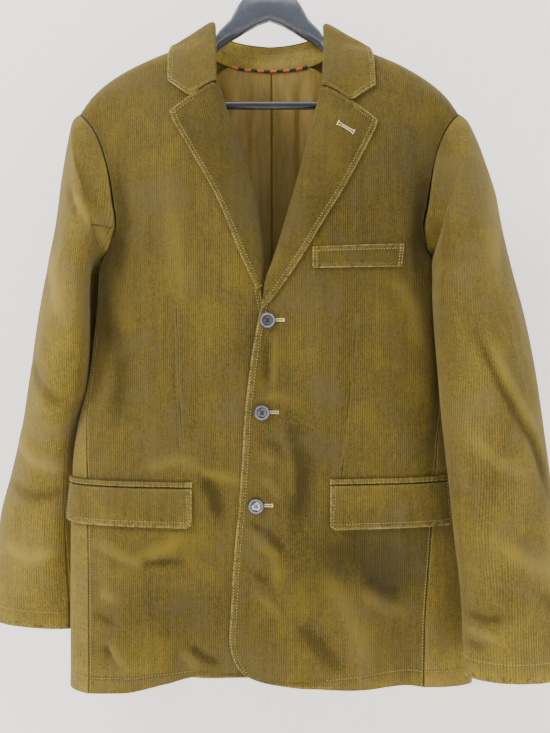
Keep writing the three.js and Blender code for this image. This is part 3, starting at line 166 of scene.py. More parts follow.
# Creases on what faces backwards, and on the sleeves
BACK_CREASES = (
    (((-190, -330), (-160, -420), (-130, -520)), 13, -1.8),
    (((190, -320), (158, -410), (136, -500)), 12, -1.7),
    (((-60, -210), (-20, -226), (40, -224)), 9, 1.2),
    (((-150, -640), (-90, -662), (-30, -654)), 10, 1.6),
    (((150, -628), (96, -648), (20, -646)), 10, 1.5),
    (((-120, -700), (-70, -716)), 8, -1.3),
    (((70, -690), (130, -704)), 9, -1.4),
    (((-40, -760), (-60, -860), (-56, -950)), 12, 1.5),
    (((118, -780), (124, -870), (116, -958)), 11, 1.6),
    (((30, -800), (26, -890), (34, -955)), 10, -1.3),
)
SLEEVE_CREASES = {
    "left": (
        (((235, -532), (262, -592), (300, -654), (320, -712), (327, -735)), 6, -2.6),
        (((246, -540), (274, -600), (308, -655)), 7, 2.4),
        (((280, -330), (268, -400), (255, -470)), 12, 1.5),
        (((222, -846), (240, -852), (262, -848)), 5, -1.8),
        (((222, -862), (238, -868), (256, -874)), 4.5, 1.6),
        (((224, -880), (240, -884)), 4.5, -1.3),
        (((250, -760), (290, -790), (330, -800)), 9, 1.7),
        (((300, -820), (330, -850)), 8, -1.4),
        (((222, -640), (250, -672), (286, -690)), 8, 1.5),
    ),
    "right": (
        (((-232, -362), (-212, -395), (-196, -425)), 6, 2.2),
        (((-240, -356), (-222, -392)), 6, -1.6),
        (((-276, -420), (-250, -470), (-240, -520)), 10, 1.5),
        (((-300, -560), (-270, -600), (-246, -620)), 9, -1.6),
        (((-330, -660), (-290, -690), (-256, -700)), 8, 1.8),
        (((-340, -720), (-300, -736), (-262, -730)), 7, -1.5),
        (((-350, -800), (-310, -815), (-270, -806)), 9, 1.5),
    ),
}
# Darts of the fronts, from the chest to the pocket, in mm
DARTS = {
    "front_right": ((-110, -497), (-107, -590), (-101, -696)),
    "front_left": ((105, -505), (97, -582), (92, -632), (86, -700)),
}
DART_HALF_WIDTH = 5
DART_DEPTH = 0.9
# Where the nap lies brushed: x, height, reach in x and in height in mm, and how golden or grey
BRUSHED = (
    (-118, -765, 46, 22, 1.0), (-92, -812, 34, 20, 0.9), (-170, -800, 40, 24, 0.5), (-66, -712, 22, 26, 0.8),
    (-60, -760, 14, 30, -0.9), (-150, -850, 60, 30, -0.6), (-76, -870, 46, 34, -1.0), (-60, -925, 26, 14, -1.0),
    (-150, -915, 50, 20, 0.4), (-120, -700, 50, 10, 0.7), (2, -690, 16, 30, 0.6), (10, -770, 16, 34, 0.9),
    (-12, -775, 14, 16, -0.7), (30, -850, 40, 50, 0.6), (24, -655, 14, 40, -0.6), (12, -606, 20, 12, 0.9),
    (60, -640, 24, 60, -0.6), (40, -540, 26, 30, 0.3), (70, -720, 40, 14, 0.4), (150, -560, 50, 70, 0.35),
    (70, -560, 20, 60, -0.5), (150, -820, 50, 50, -0.6), (90, -800, 40, 40, 0.3), (160, -900, 60, 34, 0.4),
    (-190, -620, 22, 60, 0.5), (-140, -580, 40, 70, -0.4), (-40, -600, 18, 90, -0.5), (-60, -480, 40, 50, 0.3),
    (-150, -360, 50, 60, -0.3), (150, -340, 50, 70, -0.3), (100, -430, 50, 20, -0.3), (-110, -300, 30, 40, 0.3),
)
# How light the cloth of each piece looks beside the others: partly the nap lying differently, partly painted light
# and shade that brightens pieces lying in shade, such as the collar stand and the side panels
PIECE_TONES_AND_PAINTED_LIGHT = {
    "side_right": 1.6, "side_left": 1.6, "sleeve_right_top": 1.65, "sleeve_right_under": 1.5,
    "sleeve_left_top": 1.3, "sleeve_left_under": 1.3, "collar_fall": 1.1, "collar_stand": 2.5,
    "lapel_right": 0.72, "lapel_left": 0.95, "pocket_flap_right": 1.1, "pocket_flap_left": 1.2,
    "pocket_jet_right": 1.15, "pocket_jet_left": 1.25, "back_left": 1.05, "back_right": 1.05,
}
# Lighter and darker places on what faces the front, painted light and shade mixed with the nap's own tone: x,
# height, reach in x and in height in mm, change
NAP_TONE_AND_PAINTED_LIGHT = (
    (150, -330, 70, 110, -0.2), (80, -400, 60, 70, -0.18), (110, -800, 75, 42, -0.55), (40, -700, 30, 70, -0.2),
    (-185, -940, 90, 16, 0.3), (150, -950, 110, 16, 0.3), (-60, -470, 50, 60, 0.06), (200, -470, 20, 120, -0.25),
    (300, -920, 80, 40, 0.4), (330, -760, 50, 130, 0.25), (-290, -820, 80, 140, 0.15), (-205, -800, 14, 160, 0.25),
    (-110, -860, 60, 30, -0.22), (70, -930, 80, 26, 0.15), (-20, -560, 18, 60, -0.2), (10, -560, 16, 70, -0.12),
)
# Reach in mm by which the under side of the right sleeve comes towards the body, at its heights
UNDERARM_REACH = ((-660, 0), (-625, 4), (-590, 10), (-550, 14), (-500, 17.5), (-455, 18), (-436, 12), (-418, 0))
# Rows of a sleeve above the underarm, where its wales keep the width of the row below
SLEEVE_HEAD_ROWS = 5
# Rounding of a flap's lower corners in mm, and its length as a share of its solid's
FLAP_CORNER = 7.5
FLAP_SHARE = {"pocket_flap_right": 0.91, "pocket_flap_left": 0.95}
# How much more than a fold the relief of an edge lightens or darkens the cloth, as painted light on its bulges and
# painted shade in its hollows
PUCKER_SHADE = 2.4
# How far the body's sides come out under the arms in mm: height, on the wearer's left, on the right
SIDE_REACH = ((-660, 0, 0), (-630, 4, 2), (-590, 9, 5), (-540, 12, 7.5), (-480, 12, 8), (-450, 10, 8), (-425, 0, 0))
# How far from the middle in mm the seam between lapel and collar ends at the notch
GORGE_ENDS = {"lapel_left": 96, "lapel_right": 83}
# Buttonholes in mm: lengths, how far each lies from its button, and the lapel's place and turn
BUTTONHOLE_LENGTH = 25.0
LAPEL_HOLE_LENGTH = 21.0
BUTTON_HOLE_OFFSETS = (6.6, 6.4, 6.6)
LAPEL_HOLE_AT = (90.0, -289.0)
LAPEL_HOLE_TURN = -27
# Buttons in mm: radius, depth, inset and rise of each ring of the face, and their holes. Paleness
# is that of each button's middle beside the colour of its horn
BUTTON_RADIUS = 9.5
BUTTON_DEPTH = 3.2
BUTTON_RINGS = ((0.7, 0.25), (1.1, 0.25), (0.8, -1.1), (0.9, -0.35))
BUTTON_PALENESS = (0.6, 1.0, 4.6)
HOLE_RADIUS = 0.95
HOLE_OFFSET = 1.75
# Lengths in metres of the piping's stripes and of its twist, and its shift from the solid in mm
PIPING_STRIPE = 0.017
PIPING_TWIST = 0.0014
PIPING_SHIFT = (0, 0.6, 4)
# Where the collar stand's foot lies in mm from its solid's lower border
STAND_FOOT = (0, 1.4, -7)
# Tapes in the armholes: depth under the cloth's face and radius in mm
TAPE_DEPTH = 2.1
TAPE_RADIUS = 1.2
# Reach in metres of the rubbed line on an edge, and of the paler cloth beside it
WORN_EDGE = 0.0019
WORN_FOLD = 0.0085
# Hanger: bevel of its edges in mm, how much paler they are as painted highlight and wear, and levels that round off
# bar and hook
HANGER_BEVEL = 0.9
HANGER_EDGE_HIGHLIGHT_AND_WEAR = 1.9
ROUNDING_LEVELS = 2
# Lamps: name, place, size in metres and power in watts
LAMPS = (
    ("key", (-1.5, -1.35, 0.95), 0.7, 49.0), ("fill", (1.6, -1.8, -0.2), 1.6, 13.0),
    ("top", (0.1, -0.5, 1.3), 1.2, 16.0), ("back", (0.9, 2.0, 0.4), 1.6, 26.0),
)
LAMP_COLOUR = (1.0, 0.965, 0.9)
LAMPS_AIM = (0.0, -0.05, -0.5)
# Planes of the stage: name, middle and turn about X in degrees
STAGE_SIZE = 7.0
STAGE_PLANES = (("backdrop", (0, 0.2, -0.6), 90), ("floor", (0, 0, -1.28), 0))


class JacketSettings(bpy.types.PropertyGroup):
    """Sizes and colours of the jacket that can be changed"""

    wale_pitch: bpy.props.FloatProperty(
        name="Wale pitch", description="Distance from one wale of the corduroy to the next",
        default=0.0026, min=0.001, max=0.008, unit="LENGTH", precision=4)
    cloth: bpy.props.FloatProperty(
        name="Cloth thickness", description="Thickness of the corduroy panels",
        default=0.002, min=0.001, max=0.003, unit="LENGTH", precision=4)
    stitch_pitch: bpy.props.FloatProperty(
        name="Stitch length", description="Distance from one stitch of the topstitching to the next",
        default=0.0036, min=0.002, max=0.006, unit="LENGTH", precision=4)
    # The dark colour serves as painted shade in the grooves between the wales and in hollows of the relief, and as
    # the dark end of the nap's own mottling
    dark: bpy.props.FloatVectorProperty(
        name="Corduroy, dark", description="Colour of the cloth between its wales",
        subtype="COLOR", size=3, default=(0.053, 0.038, 0.0065), min=0, max=1)
    light: bpy.props.FloatVectorProperty(
        name="Corduroy, light", description="Colour of the nap on top of the wales",
        subtype="COLOR", size=3, default=(0.158, 0.115, 0.025), min=0, max=1)
    gold: bpy.props.FloatVectorProperty(
        name="Corduroy, golden", description="Colour where the nap lies towards the light",
        subtype="COLOR", size=3, default=(0.17, 0.123, 0.014), min=0, max=1)
    grey: bpy.props.FloatVectorProperty(
        name="Corduroy, grey", description="Colour where the nap lies away from the light",
        subtype="COLOR", size=3, default=(0.105, 0.082, 0.034), min=0, max=1)
    worn: bpy.props.FloatVectorProperty(
        name="Corduroy, worn", description="Colour of rubbed edges and seams",
        subtype="COLOR", size=3, default=(0.52, 0.42, 0.13), min=0, max=1)
    lining: bpy.props.FloatVectorProperty(
        name="Lining", description="Colour of the lining",
        subtype="COLOR", size=3, default=(0.31, 0.205, 0.042), min=0, max=1)
    thread: bpy.props.FloatVectorProperty(
        name="Thread", description="Colour of topstitching and buttonholes",
        subtype="COLOR", size=3, default=(0.56, 0.46, 0.18), min=0, max=1)
    horn: bpy.props.FloatVectorProperty(
        name="Buttons", description="Colour of the buttons",
        subtype="COLOR", size=3, default=(0.115, 0.112, 0.12), min=0, max=1)
    plastic: bpy.props.FloatVectorProperty(
        name="Hanger", description="Colour of the moulded hanger",
        subtype="COLOR", size=3, default=(0.052, 0.06, 0.078), min=0, max=1)


def settings():
    return bpy.context.scene.jacket_settings


# Grids of points from the solids


def showing_faces(mesh, rim, way):
    """The faces on the side of a wall that shows, as one connected sheet."""
    best, most, seen = None, None, set(rim)
    for start in mesh.faces:
        if start in seen:
            continue
        seen.add(start)
        stack, sheet = [start], []
        while stack:
            face = stack.pop()
            sheet.append(face)
            for edge in face.edges:
                for other in edge.link_faces:
                    if other not in seen:
                        seen.add(other)
                        stack.append(other)
        total = sum((f.normal * f.calc_area() for f in sheet), Vector()).dot(way)
        if most is None or total > most:
            best, most = sheet, total
    return best


def walk_grid(faces):
    """Row and column of each vertex of a sheet of triangles, from one of its corners."""
    inside = set(faces)
    uses = {}
    for face in faces:
        for vertex in face.verts:
            uses.setdefault(vertex, []).append(face)
    corner, (first,) = next((v, f) for v, f in uses.items() if len(f) == 1)
    others = [v for v in first.verts if v != corner]
    places = {corner: (0, 0), others[0]: (1, 0), others[1]: (0, 1)}
    done, stack = {first}, [first]
    while stack:
        face = stack.pop()
        for edge in face.edges:
            for other in edge.link_faces:
                if other in done or other not in inside:
                    continue
                a, b = (places[v] for v in edge.verts)
                last = places[next(v for v in face.verts if v not in edge.verts)]
                new = next(v for v in other.verts if v not in edge.verts)
                places.setdefault(new, (a[0] + b[0] - last[0], a[1] + b[1] - last[1]))
                done.add(other)
                stack.append(other)
    return places


def node_grid(node):
    """The side of a cloth node that shows, as rows and columns of points."""
    sheet = SHEETS[node]
    mesh = bmesh.new()
    mesh.from_mesh(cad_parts[node].data)
    bmesh.ops.remove_doubles(mesh, verts=mesh.verts, dist=MERGE)
    mesh.normal_update()
    wall = sheet.wall * MM
    rim = [f for f in mesh.faces if any(abs(e.calc_length() - wall) < RIM_TOLERANCE for e in f.edges)]
    places = walk_grid(showing_faces(mesh, rim, Vector(AXES[sheet.face])))
    shape = tuple(max(p[k] for p in places.values()) + 1 for k in (0, 1))
    grid = np.zeros((*shape, 3))
    for vertex, place in places.items():
        grid[place] = vertex.co
    mesh.free()
    if shape != (sheet.rows, sheet.columns):
        grid = grid.transpose(1, 0, 2)
    if grid.shape[:2] != (sheet.rows, sheet.columns):
        raise RuntimeError(f"{node} has {grid.shape[:2]} rows and columns")
    if (grid[-1] - grid[0]).mean(0) @ np.array(AXES[sheet.up]) < 0:
        grid = grid[::-1]
    if (grid[:, -1] - grid[:, 0]).mean(0) @ np.array(AXES[sheet.across]) < 0:
        grid = grid[:, ::-1]
    return grid


def cubic(points, knots, places):
    """Points at new places along the first axis, on smooth curves through all the given ones."""
    step = np.diff(knots)[:, None, None]
    slope = np.diff(points, axis=0) / step
    tangent = np.empty_like(points)
    tangent[1:-1] = (slope[:-1] * step[1:] + slope[1:] * step[:-1]) / (step[1:] + step[:-1])
    tangent[0], tangent[-1] = slope[0], slope[-1]
    i = np.clip(np.searchsorted(knots, places, side="right") - 1, 0, len(step) - 1)
    h = step[i]
    t = (places - knots[i])[:, None, None] / h
    return (
        points[i] * (2 * t**3 - 3 * t**2 + 1) + points[i + 1] * (3 * t**2 - 2 * t**3)
        + h * (tangent[i] * (t**3 - 2 * t**2 + t) + tangent[i + 1] * (t**3 - t**2))
    )


def knots_along(points):
    lengths = np.linalg.norm(np.diff(points, axis=0), axis=2).mean(1)
    return np.concatenate([[0], np.cumsum(lengths)])


def fine_places(total, step, first, last):
    """Places from 0 to total, closer together beside edges and seams."""
    dense = {"e": DENSE_EDGE, "s": DENSE_SEAM, "n": ()}
    near = [d * MM for d in dense[first] if d * MM < total * 0.45]
    far = [total - d * MM for d in dense[last] if d * MM < total * 0.45]
    lo = near[-1] if near else 0.0
    hi = far[-1] if far else total
    count = max(2, round((hi - lo) / (step * MM)))
    middle = np.linspace(lo, hi, count + 1)
    return np.unique(np.round(np.concatenate([[0.0], near, middle, far[::-1], [total]]), 7))


def lengths_from_start(points, axis):
    steps = np.linalg.norm(np.diff(points, axis=axis), axis=2)
    total = np.cumsum(steps, axis=axis)
    pad = [(0, 0), (0, 0)]
    pad[axis] = (1, 0)
    return np.pad(total, pad)


def smooth(t):
    t = np.clip(t, 0, 1)
    return t * t * (3 - 2 * t)


def nearest_on(line, points):
    """Nearest places on a line of points, and the distances to them."""
    start, span = line[:-1], np.diff(line, axis=0)
    share = ((points[:, None] - start) * span).sum(2) / np.maximum((span * span).sum(1), TINY)
    at = start + np.clip(share, 0, 1)[..., None] * span
    off = np.linalg.norm(points[:, None] - at, axis=2)
    best, rows = off.argmin(1), np.arange(len(points))
    return at[rows, best], off[rows, best]


def draw_up(points, lines, reach, fade, gap, share=None):
    """Moves the first row of points next to the lines where they are near, and the rest less."""
    found = [nearest_on(line, points[0]) for line in lines]
    pick = np.argmin([off for _, off in found], axis=0)
    rows = np.arange(len(pick))
    target, off = (np.array([f[k] for f in found])[pick, rows] for k in (0, 1))
    weight = smooth((reach * MM - off) / (reach * MM * 0.4)) * (1 if share is None else share)
    move = (target - points[0]) * (1 - gap * MM / np.maximum(off, gap * MM))[:, None] * weight[:, None]
    from_row = lengths_from_start(points, 0)
    return points + move[None] * (1 - smooth(from_row / (fade * MM)))[..., None]


def round_flap(points, length):
    """Rounds the two lower corners of a flap and takes it to a share of its length."""
    along = lengths_from_start(points, 1)[0]
    off = np.minimum(along, along[-1] - along) / MM
    x, top, low = points[-1, :, 0], points[0, :, 2], points[-1, :, 2]
    inside = off > 14
    full = np.where(inside, low, np.polyval(np.polyfit(x[inside], low[inside], 1), x))
    short = np.clip(FLAP_CORNER - off, 0, None)
    lift = FLAP_CORNER - np.sqrt(np.clip(FLAP_CORNER**2 - short**2, 0, None))
    new = points.copy()
    new[..., 2] = top + (points[..., 2] - top) * ((full + lift * MM - top) / (low - top)) * length
    return new


def fitted(node, points):
    """A piece's form drawn up to its neighbours, so that seams close evenly."""
    if node.startswith("pocket_flap"):
        return round_flap(points, FLAP_SHARE[node])
    if node.startswith(("front", "back", "side")):
        left = points[..., 0] > 0
        table = np.array(SIDE_REACH)
        x, y, z = (points[..., k] / MM for k in range(3))
        on_left, on_right = (np.interp(z, table[:, 0], table[:, k]) for k in (1, 2))
        reach = np.where(left, on_left, -on_right)
        share = smooth((y + 95) / 40) * smooth((62 - y) / 34) * smooth((np.abs(x) - 160) / 30)
        points = points.copy()
        points[..., 0] += reach * share * MM
        return points
    if node in GORGE_ENDS:
        collar = finished["collar_fall"]["points"]
        edge = collar[-1] if node == "lapel_left" else collar[0]
        inside = smooth((GORGE_ENDS[node] * MM - np.abs(points[-1, :, 0])) / (8 * MM))
        return draw_up(points[::-1], [edge], 10, 30, 0.5, inside)[::-1]
    if node.startswith("sleeve"):
        side = node.split("_")[1]
        body = [finished[f"{part}_{side}"]["points"] for part in ("front", "back", "side")]
        points = draw_up(points, [body[0][:, -1], body[1][:, -1], body[2][-1]], 7, 22, 0.3)
        if node.endswith("under"):
            seam = finished[f"sleeve_{side}_top"]["points"][:, -1]
            points = draw_up(points.transpose(1, 0, 2), [seam], 4, 8, 0.06).transpose(1, 0, 2)
        if node == "sleeve_right_under":
            heights, reach = zip(*UNDERARM_REACH)
            y = points[..., 1] / MM
            share = smooth((y + 22) / 26) * smooth((56 - y) / 26)
            points = points.copy()
            points[..., 0] += np.interp(points[..., 2] / MM, heights, reach) * share * MM
    return points


# Relief of the cloth


def line_distance(x, z, line):
    """Distance in mm from a line of points, and the share of the way along it."""
    spans = [math.dist(a, b) for a, b in zip(line, line[1:])]
    total = sum(spans)
    near, share, before = np.full(x.shape, 1e9), np.zeros(x.shape), 0.0
    for (x0, z0), (x1, z1), span in zip(line, line[1:], spans):
        t = ((x - x0) * (x1 - x0) + (z - z0) * (z1 - z0)) / span**2
        inside = np.clip(t, 0, 1)
        off = np.hypot(x - x0 - inside * (x1 - x0), z - z0 - inside * (z1 - z0))
        share = np.where(off < near, (before + inside * span) / total, share)
        near = np.minimum(near, off)
        before += span
    return near, share


def crease_height(points, creases):
    x, z = points[..., 0] / MM, points[..., 2] / MM
    height = np.zeros(x.shape)
    for line, width, lift in creases:
        off, share = line_distance(x, z, line)
        ends = smooth(share / 0.25) * smooth((1 - share) / 0.25)
        height += CREASE_GAIN * lift * np.exp(-((off / width) ** 2)) * (0.25 + 0.75 * ends)
    return height * MM


def wobble(points, seed, reach=0.45):
    """Slight unevenness of hanging cloth, in metres."""
    draw = np.random.default_rng(seed)
    x, y, z = (points[..., k] for k in range(3))
    height = np.zeros(x.shape)
    for _ in range(7):
        across, along = draw.uniform(25, 85), draw.uniform(8, 45)
        phase = draw.uniform(0, 2 * math.pi)
        height += np.sin((x + 0.7 * y) * across + z * along * draw.choice([-1, 1]) + phase)
    return height * reach / 7 * MM


def puckers(along, seed, pitch):
    """Uneven little ripples along a stitched edge, from 0 to 1."""
    draw = np.random.default_rng(seed)
    phase, bend = draw.uniform(0, 6.28, 2)
    wave = np.sin(along / pitch * 2 * math.pi + phase + 1.7 * np.sin(along * 61 + bend))
    return (0.5 + 0.5 * wave) * (0.55 + 0.45 * np.sin(along * 87 + bend))


def gaussian(value, middle, width):
    return np.exp(-(((value - middle) / width) ** 2))


def piece_relief(node, grid):
    """Height of a piece's folds, creases and gathers over its smooth form, in metres."""
    points, normal = grid["points"], grid["normal"]
    seed = sorted(SHEETS).index(node) + 3
    side = "left" if "left" in node else "right"
    front = smooth(-normal[..., 1] * 2.2)
    back = smooth(normal[..., 1] * 2.2)
    if node.startswith(("front", "side")):
        return crease_height(points, FRONT_CREASES) * front + wobble(points, seed)
    if node.startswith("back"):
        return crease_height(points, BACK_CREASES) * back + wobble(points, seed, 0.7)
    if node.startswith("sleeve"):
        behind = crease_height(points, tuple((line, w * 1.2, -h) for line, w, h in SLEEVE_CREASES[side]))
        before = crease_height(points, SLEEVE_CREASES[side])
        return before * front + behind * back * 0.7 + wobble(points, seed, 0.9)
    x = points[..., 0] / MM
    if node.startswith("pocket_flap"):
        sag = grid["from_first_row"] / 0.05
        dents = (-172, -158, -143, -128, -112) if side == "right" else (92, 108, 124, 146, 170)
        depth = sum(gaussian(x, d, 4.5 + 2 * (k % 2)) for k, d in enumerate(dents))
        return depth * -0.7 * MM * smooth(sag * 1.4)
    if node.startswith("pocket_jet"):
        along = grid["from_first_column"]
        return (0.45 * np.sin(along / 0.0062 * 6.28 + 2 * np.sin(along * 90)) + 0.2 * np.sin(along * 400)) * MM
    if node.startswith("lining"):
        folds = ((-64, 6, -2.0), (-50, 5, 1.6), (-33, 6, -1.2), (-18, 5, 1.4), (14, 5, -1.2), (28, 6, 1.4),
                 (44, 5, -1.6), (57, 5, 1.6), (76, 8, -1.4), (-80, 8, 1.4))
        below = smooth((-185 - points[..., 2] / MM) / 40)
        return sum(h * gaussian(x + 0.02 * points[..., 2] / MM * (k % 3 - 1), c, w)
                   for k, (c, w, h) in enumerate(folds)) * 1.3 * MM * below
    if node == "neck_piping":
        t = grid["from_first_column"] / grid["from_first_column"].max()
        return 1.3 * MM * np.sqrt(np.clip(1 - (2 * t - 1) ** 2, 0, 1))
    if node in ("lapel_left", "lapel_right", "collar_fall"):
        return wobble(points, seed, 0.5)
    return np.zeros(x.shape)


def edge_profile(node, grid, thickness):
    """How far the outer and inner faces draw back at edges and seams, and bulge beside stitching."""
    borders = SHEETS[node].borders
    from_border = [grid[f"from_{border}"] for border in BORDERS]
    outer, inner = np.zeros(from_border[0].shape), np.zeros(from_border[0].shape)
    for k, (kind, off) in enumerate(zip(borders, from_border)):
        if kind == "e":
            near = 1 - np.clip(off / (EDGE_ROUND * MM), 0, 1)
            drop = thickness / 2 * 0.92 * (1 - np.sqrt(np.clip(1 - near**2, 0, 1)))
            outer -= drop
            inner += drop
            if node.startswith(("front", "back", "side", "sleeve")) and k < 2:
                depth = CUFF_DEPTH if node.startswith("sleeve") else HEM_DEPTH
                ripple = puckers(grid["from_first_column"], 9, HEM_RIPPLE_PITCH)
                outer -= gaussian(off, depth * MM, 1.1 * MM) * 0.7 * MM
                outer += smooth(1 - off / (depth * MM)) * (0.3 + 0.5 * ripple) * MM
                continue
            along = grid["from_first_column"] if k < 2 else grid["from_first_row"]
            rib = gaussian(off, 4.3 * MM, 1.9 * MM)
            outer += rib * (0.25 + 0.85 * puckers(along, 5 + k, PUCKER_PITCH)) * MM * 0.95
            rows = gaussian(off, STITCH_NEAR * MM, 0.6 * MM) + gaussian(off, STITCH_FAR * MM, 0.8 * MM)
            outer -= rows * 0.4 * MM
        elif kind == "s":
            outer -= gaussian(off, 0, 1.1 * MM) * 0.6 * MM
    return outer, inner


def border_distance(node, grid, kind):
    borders = SHEETS[node].borders
    from_border = [grid[f"from_{border}"] for border in BORDERS]
    near = np.full(from_border[0].shape, NO_BORDER)
    end = {"collar_fall": (0, 1), "lapel_left": (1,), "lapel_right": (1,)}.get(node, ())
    x = grid["points"][..., 0]
    gorge = np.abs(x) < np.where(x < 0, GORGE_ENDS["lapel_right"], GORGE_ENDS["lapel_left"]) * MM
    for k, (border, off) in enumerate(zip(borders, from_border)):
        if k in end:
            near = np.minimum(near, np.where(gorge == (kind == "s"), off, NO_BORDER))
            continue
        if border == kind and not (kind == "e" and k == 0 and node.startswith(("front", "back", "side"))):
            near = np.minimum(near, off)
    return near


def body_wale(points):
    """Distance round the body from the middle, so that wales hang straight down."""
    z = points[..., 2] / MM
    heights = [row[0] for row in BODY_WIDTH]
    x = points[..., 0]
    half = np.where(x < 0, np.interp(z, heights, [row[1] for row in BODY_WIDTH]),
                    np.interp(z, heights, [row[2] for row in BODY_WIDTH])) * MM
    share = np.sin(np.linspace(0, math.pi / 2, 200))
    depth = BODY_DEPTH_SHARE * (1 - share**BODY_ROUNDNESS) ** (1 / BODY_ROUNDNESS)
    arc = np.concatenate([[0], np.cumsum(np.hypot(np.diff(share), np.diff(depth)))])
    return np.sign(x) * half * np.interp(np.clip(np.abs(x) / half, 0, 1), share, arc)


def sleeve_wale(node, points):
    """Distance round a sleeve, so that wales run along the arm."""
    side = node.split("_")[1]
    rings = np.concatenate([node_grid(f"sleeve_{side}_top"), node_grid(f"sleeve_{side}_under")], axis=1)
    away = np.abs(rings[..., 0])
    outermost = rings[np.arange(len(rings)), away.argmax(1)][:, 2]
    low, high = rings[..., 1].min(1), rings[..., 1].max(1)
    measures = np.stack([away.max(1) - away.min(1), high + low, high - low]) / 2
    measures[:, :SLEEVE_HEAD_ROWS] = measures[:, SLEEVE_HEAD_ROWS, None]
    half, y_mid, y_half = (np.interp(points[..., 2], outermost[::-1], row[::-1]) for row in measures)
    centre = np.interp(points[..., 2], outermost[::-1], away.max(1)[::-1]) - half
    outwards = (np.abs(points[..., 0]) - centre) / half * (-1 if node.endswith("under") else 1)
    turn = np.arctan2((points[..., 1] - y_mid) / y_half, outwards)
    return turn * np.sqrt((half**2 + y_half**2) / 2), points[..., 2]


def wale_map(node, grid):
    grain = SHEETS[node].grain
    across, along = grid["from_first_column"], grid["from_first_row"]
    if node.startswith("sleeve"):
        return sleeve_wale(node, grid["points"])
    if grain == "body":
        return body_wale(grid["points"]), grid["points"][..., 2]
    if grain == "row":
        middle = across[:, across.shape[1] // 2][:, None]
        return across - middle, along
    if grain == "edge":
        return grid["from_last_column"], along
    return along, across


def blobs(points, normal, table):
    """Sum of soft spots on what faces the front."""
    x, z = points[..., 0] / MM, points[..., 2] / MM
    x = x + 7 * np.sin(z / 13) + 4 * np.sin(z / 5.3 + x / 17)
    z = z + 8 * np.sin(x / 19) + 4 * np.sin(x / 7.1 + z / 23)
    value = sum(v * np.exp(-(((x - cx) / rx) ** 2) - ((z - cz) / rz) ** 2) for cx, cz, rx, rz, v in table)
    return value * smooth(-normal[..., 1] * 2)


# Meshes


def grid_normals(points):
    normal = np.cross(np.gradient(points, axis=1), np.gradient(points, axis=0))
    return normal / np.maximum(np.linalg.norm(normal, axis=2, keepdims=True), TINY)


def fine_grid(node):
    """A piece's smooth form on a fine grid, with normals and distances from its borders."""
    sheet = SHEETS[node]
    coarse = node_grid(node)
    if node == "collar_stand":
        coarse = np.concatenate([coarse[:, :1] + np.array(STAND_FOOT) * MM, coarse], axis=1)
    if node == "neck_piping":
        coarse = coarse + np.array(PIPING_SHIFT) * MM
    rows = knots_along(coarse)
    columns = knots_along(coarse.transpose(1, 0, 2))
    points = cubic(coarse, rows, fine_places(rows[-1], sheet.step, *sheet.borders[:2]))
    across = fine_places(columns[-1], sheet.step, *sheet.borders[2:])
    points = fitted(node, cubic(points.transpose(1, 0, 2), columns, across).transpose(1, 0, 2))
    normal = grid_normals(points)
    turned = normal.mean((0, 1)) @ np.array(AXES[sheet.face]) < 0
    by_column, by_row = lengths_from_start(points, 1), lengths_from_start(points, 0)
    return {
        "points": points,
        "normal": -normal if turned else normal,
        "turned": turned,
        "from_first_column": by_column,
        "from_last_column": by_column[:, -1:] - by_column,
        "from_first_row": by_row,
        "from_last_row": by_row[-1:] - by_row,
    }


def shell(name, outer, inner, turned, wales, attributes):
    """A closed thin shell between two grids of points, with a UV map and point attributes."""
    rows, columns = outer.shape[:2]
    count = rows * columns
    index = np.arange(count).reshape(rows, columns)
    quads = np.stack([index[:-1, :-1], index[:-1, 1:], index[1:, 1:], index[1:, :-1]], axis=-1)
    quads = quads.reshape(-1, 4)
    ring = np.concatenate([index[0], index[1:, -1], index[-1, -2::-1], index[-2:0:-1, 0]])
    after = np.roll(ring, -1)
    rim = np.stack([after, ring, ring + count, after + count], axis=-1)
    faces = np.concatenate([quads, quads[:, ::-1] + count, rim])
    if turned:
        faces = faces[:, ::-1]
    mesh = bpy.data.meshes.new(name)
    corners = np.concatenate([outer.reshape(-1, 3), inner.reshape(-1, 3)])
    mesh.from_pydata(corners.tolist(), [], faces.tolist())
    mesh.polygons.foreach_set("use_smooth", np.ones(len(faces), bool))
    corner = faces.reshape(-1) % count
    uv = np.stack([wales[0].reshape(-1)[corner], wales[1].reshape(-1)[corner]], axis=-1)
    mesh.uv_layers.new(name="UVMap").data.foreach_set("uv", uv.reshape(-1).astype(np.float32))
    for key, values in attributes.items():
        layer = mesh.attributes.new(key, "FLOAT", "POINT")
        layer.data.foreach_set("value", np.tile(values.reshape(-1), 2).astype(np.float32))
    mesh.update()
    piece = bpy.data.objects.new(name, mesh)
    bpy.context.collection.objects.link(piece)
    return piece


finished = {}


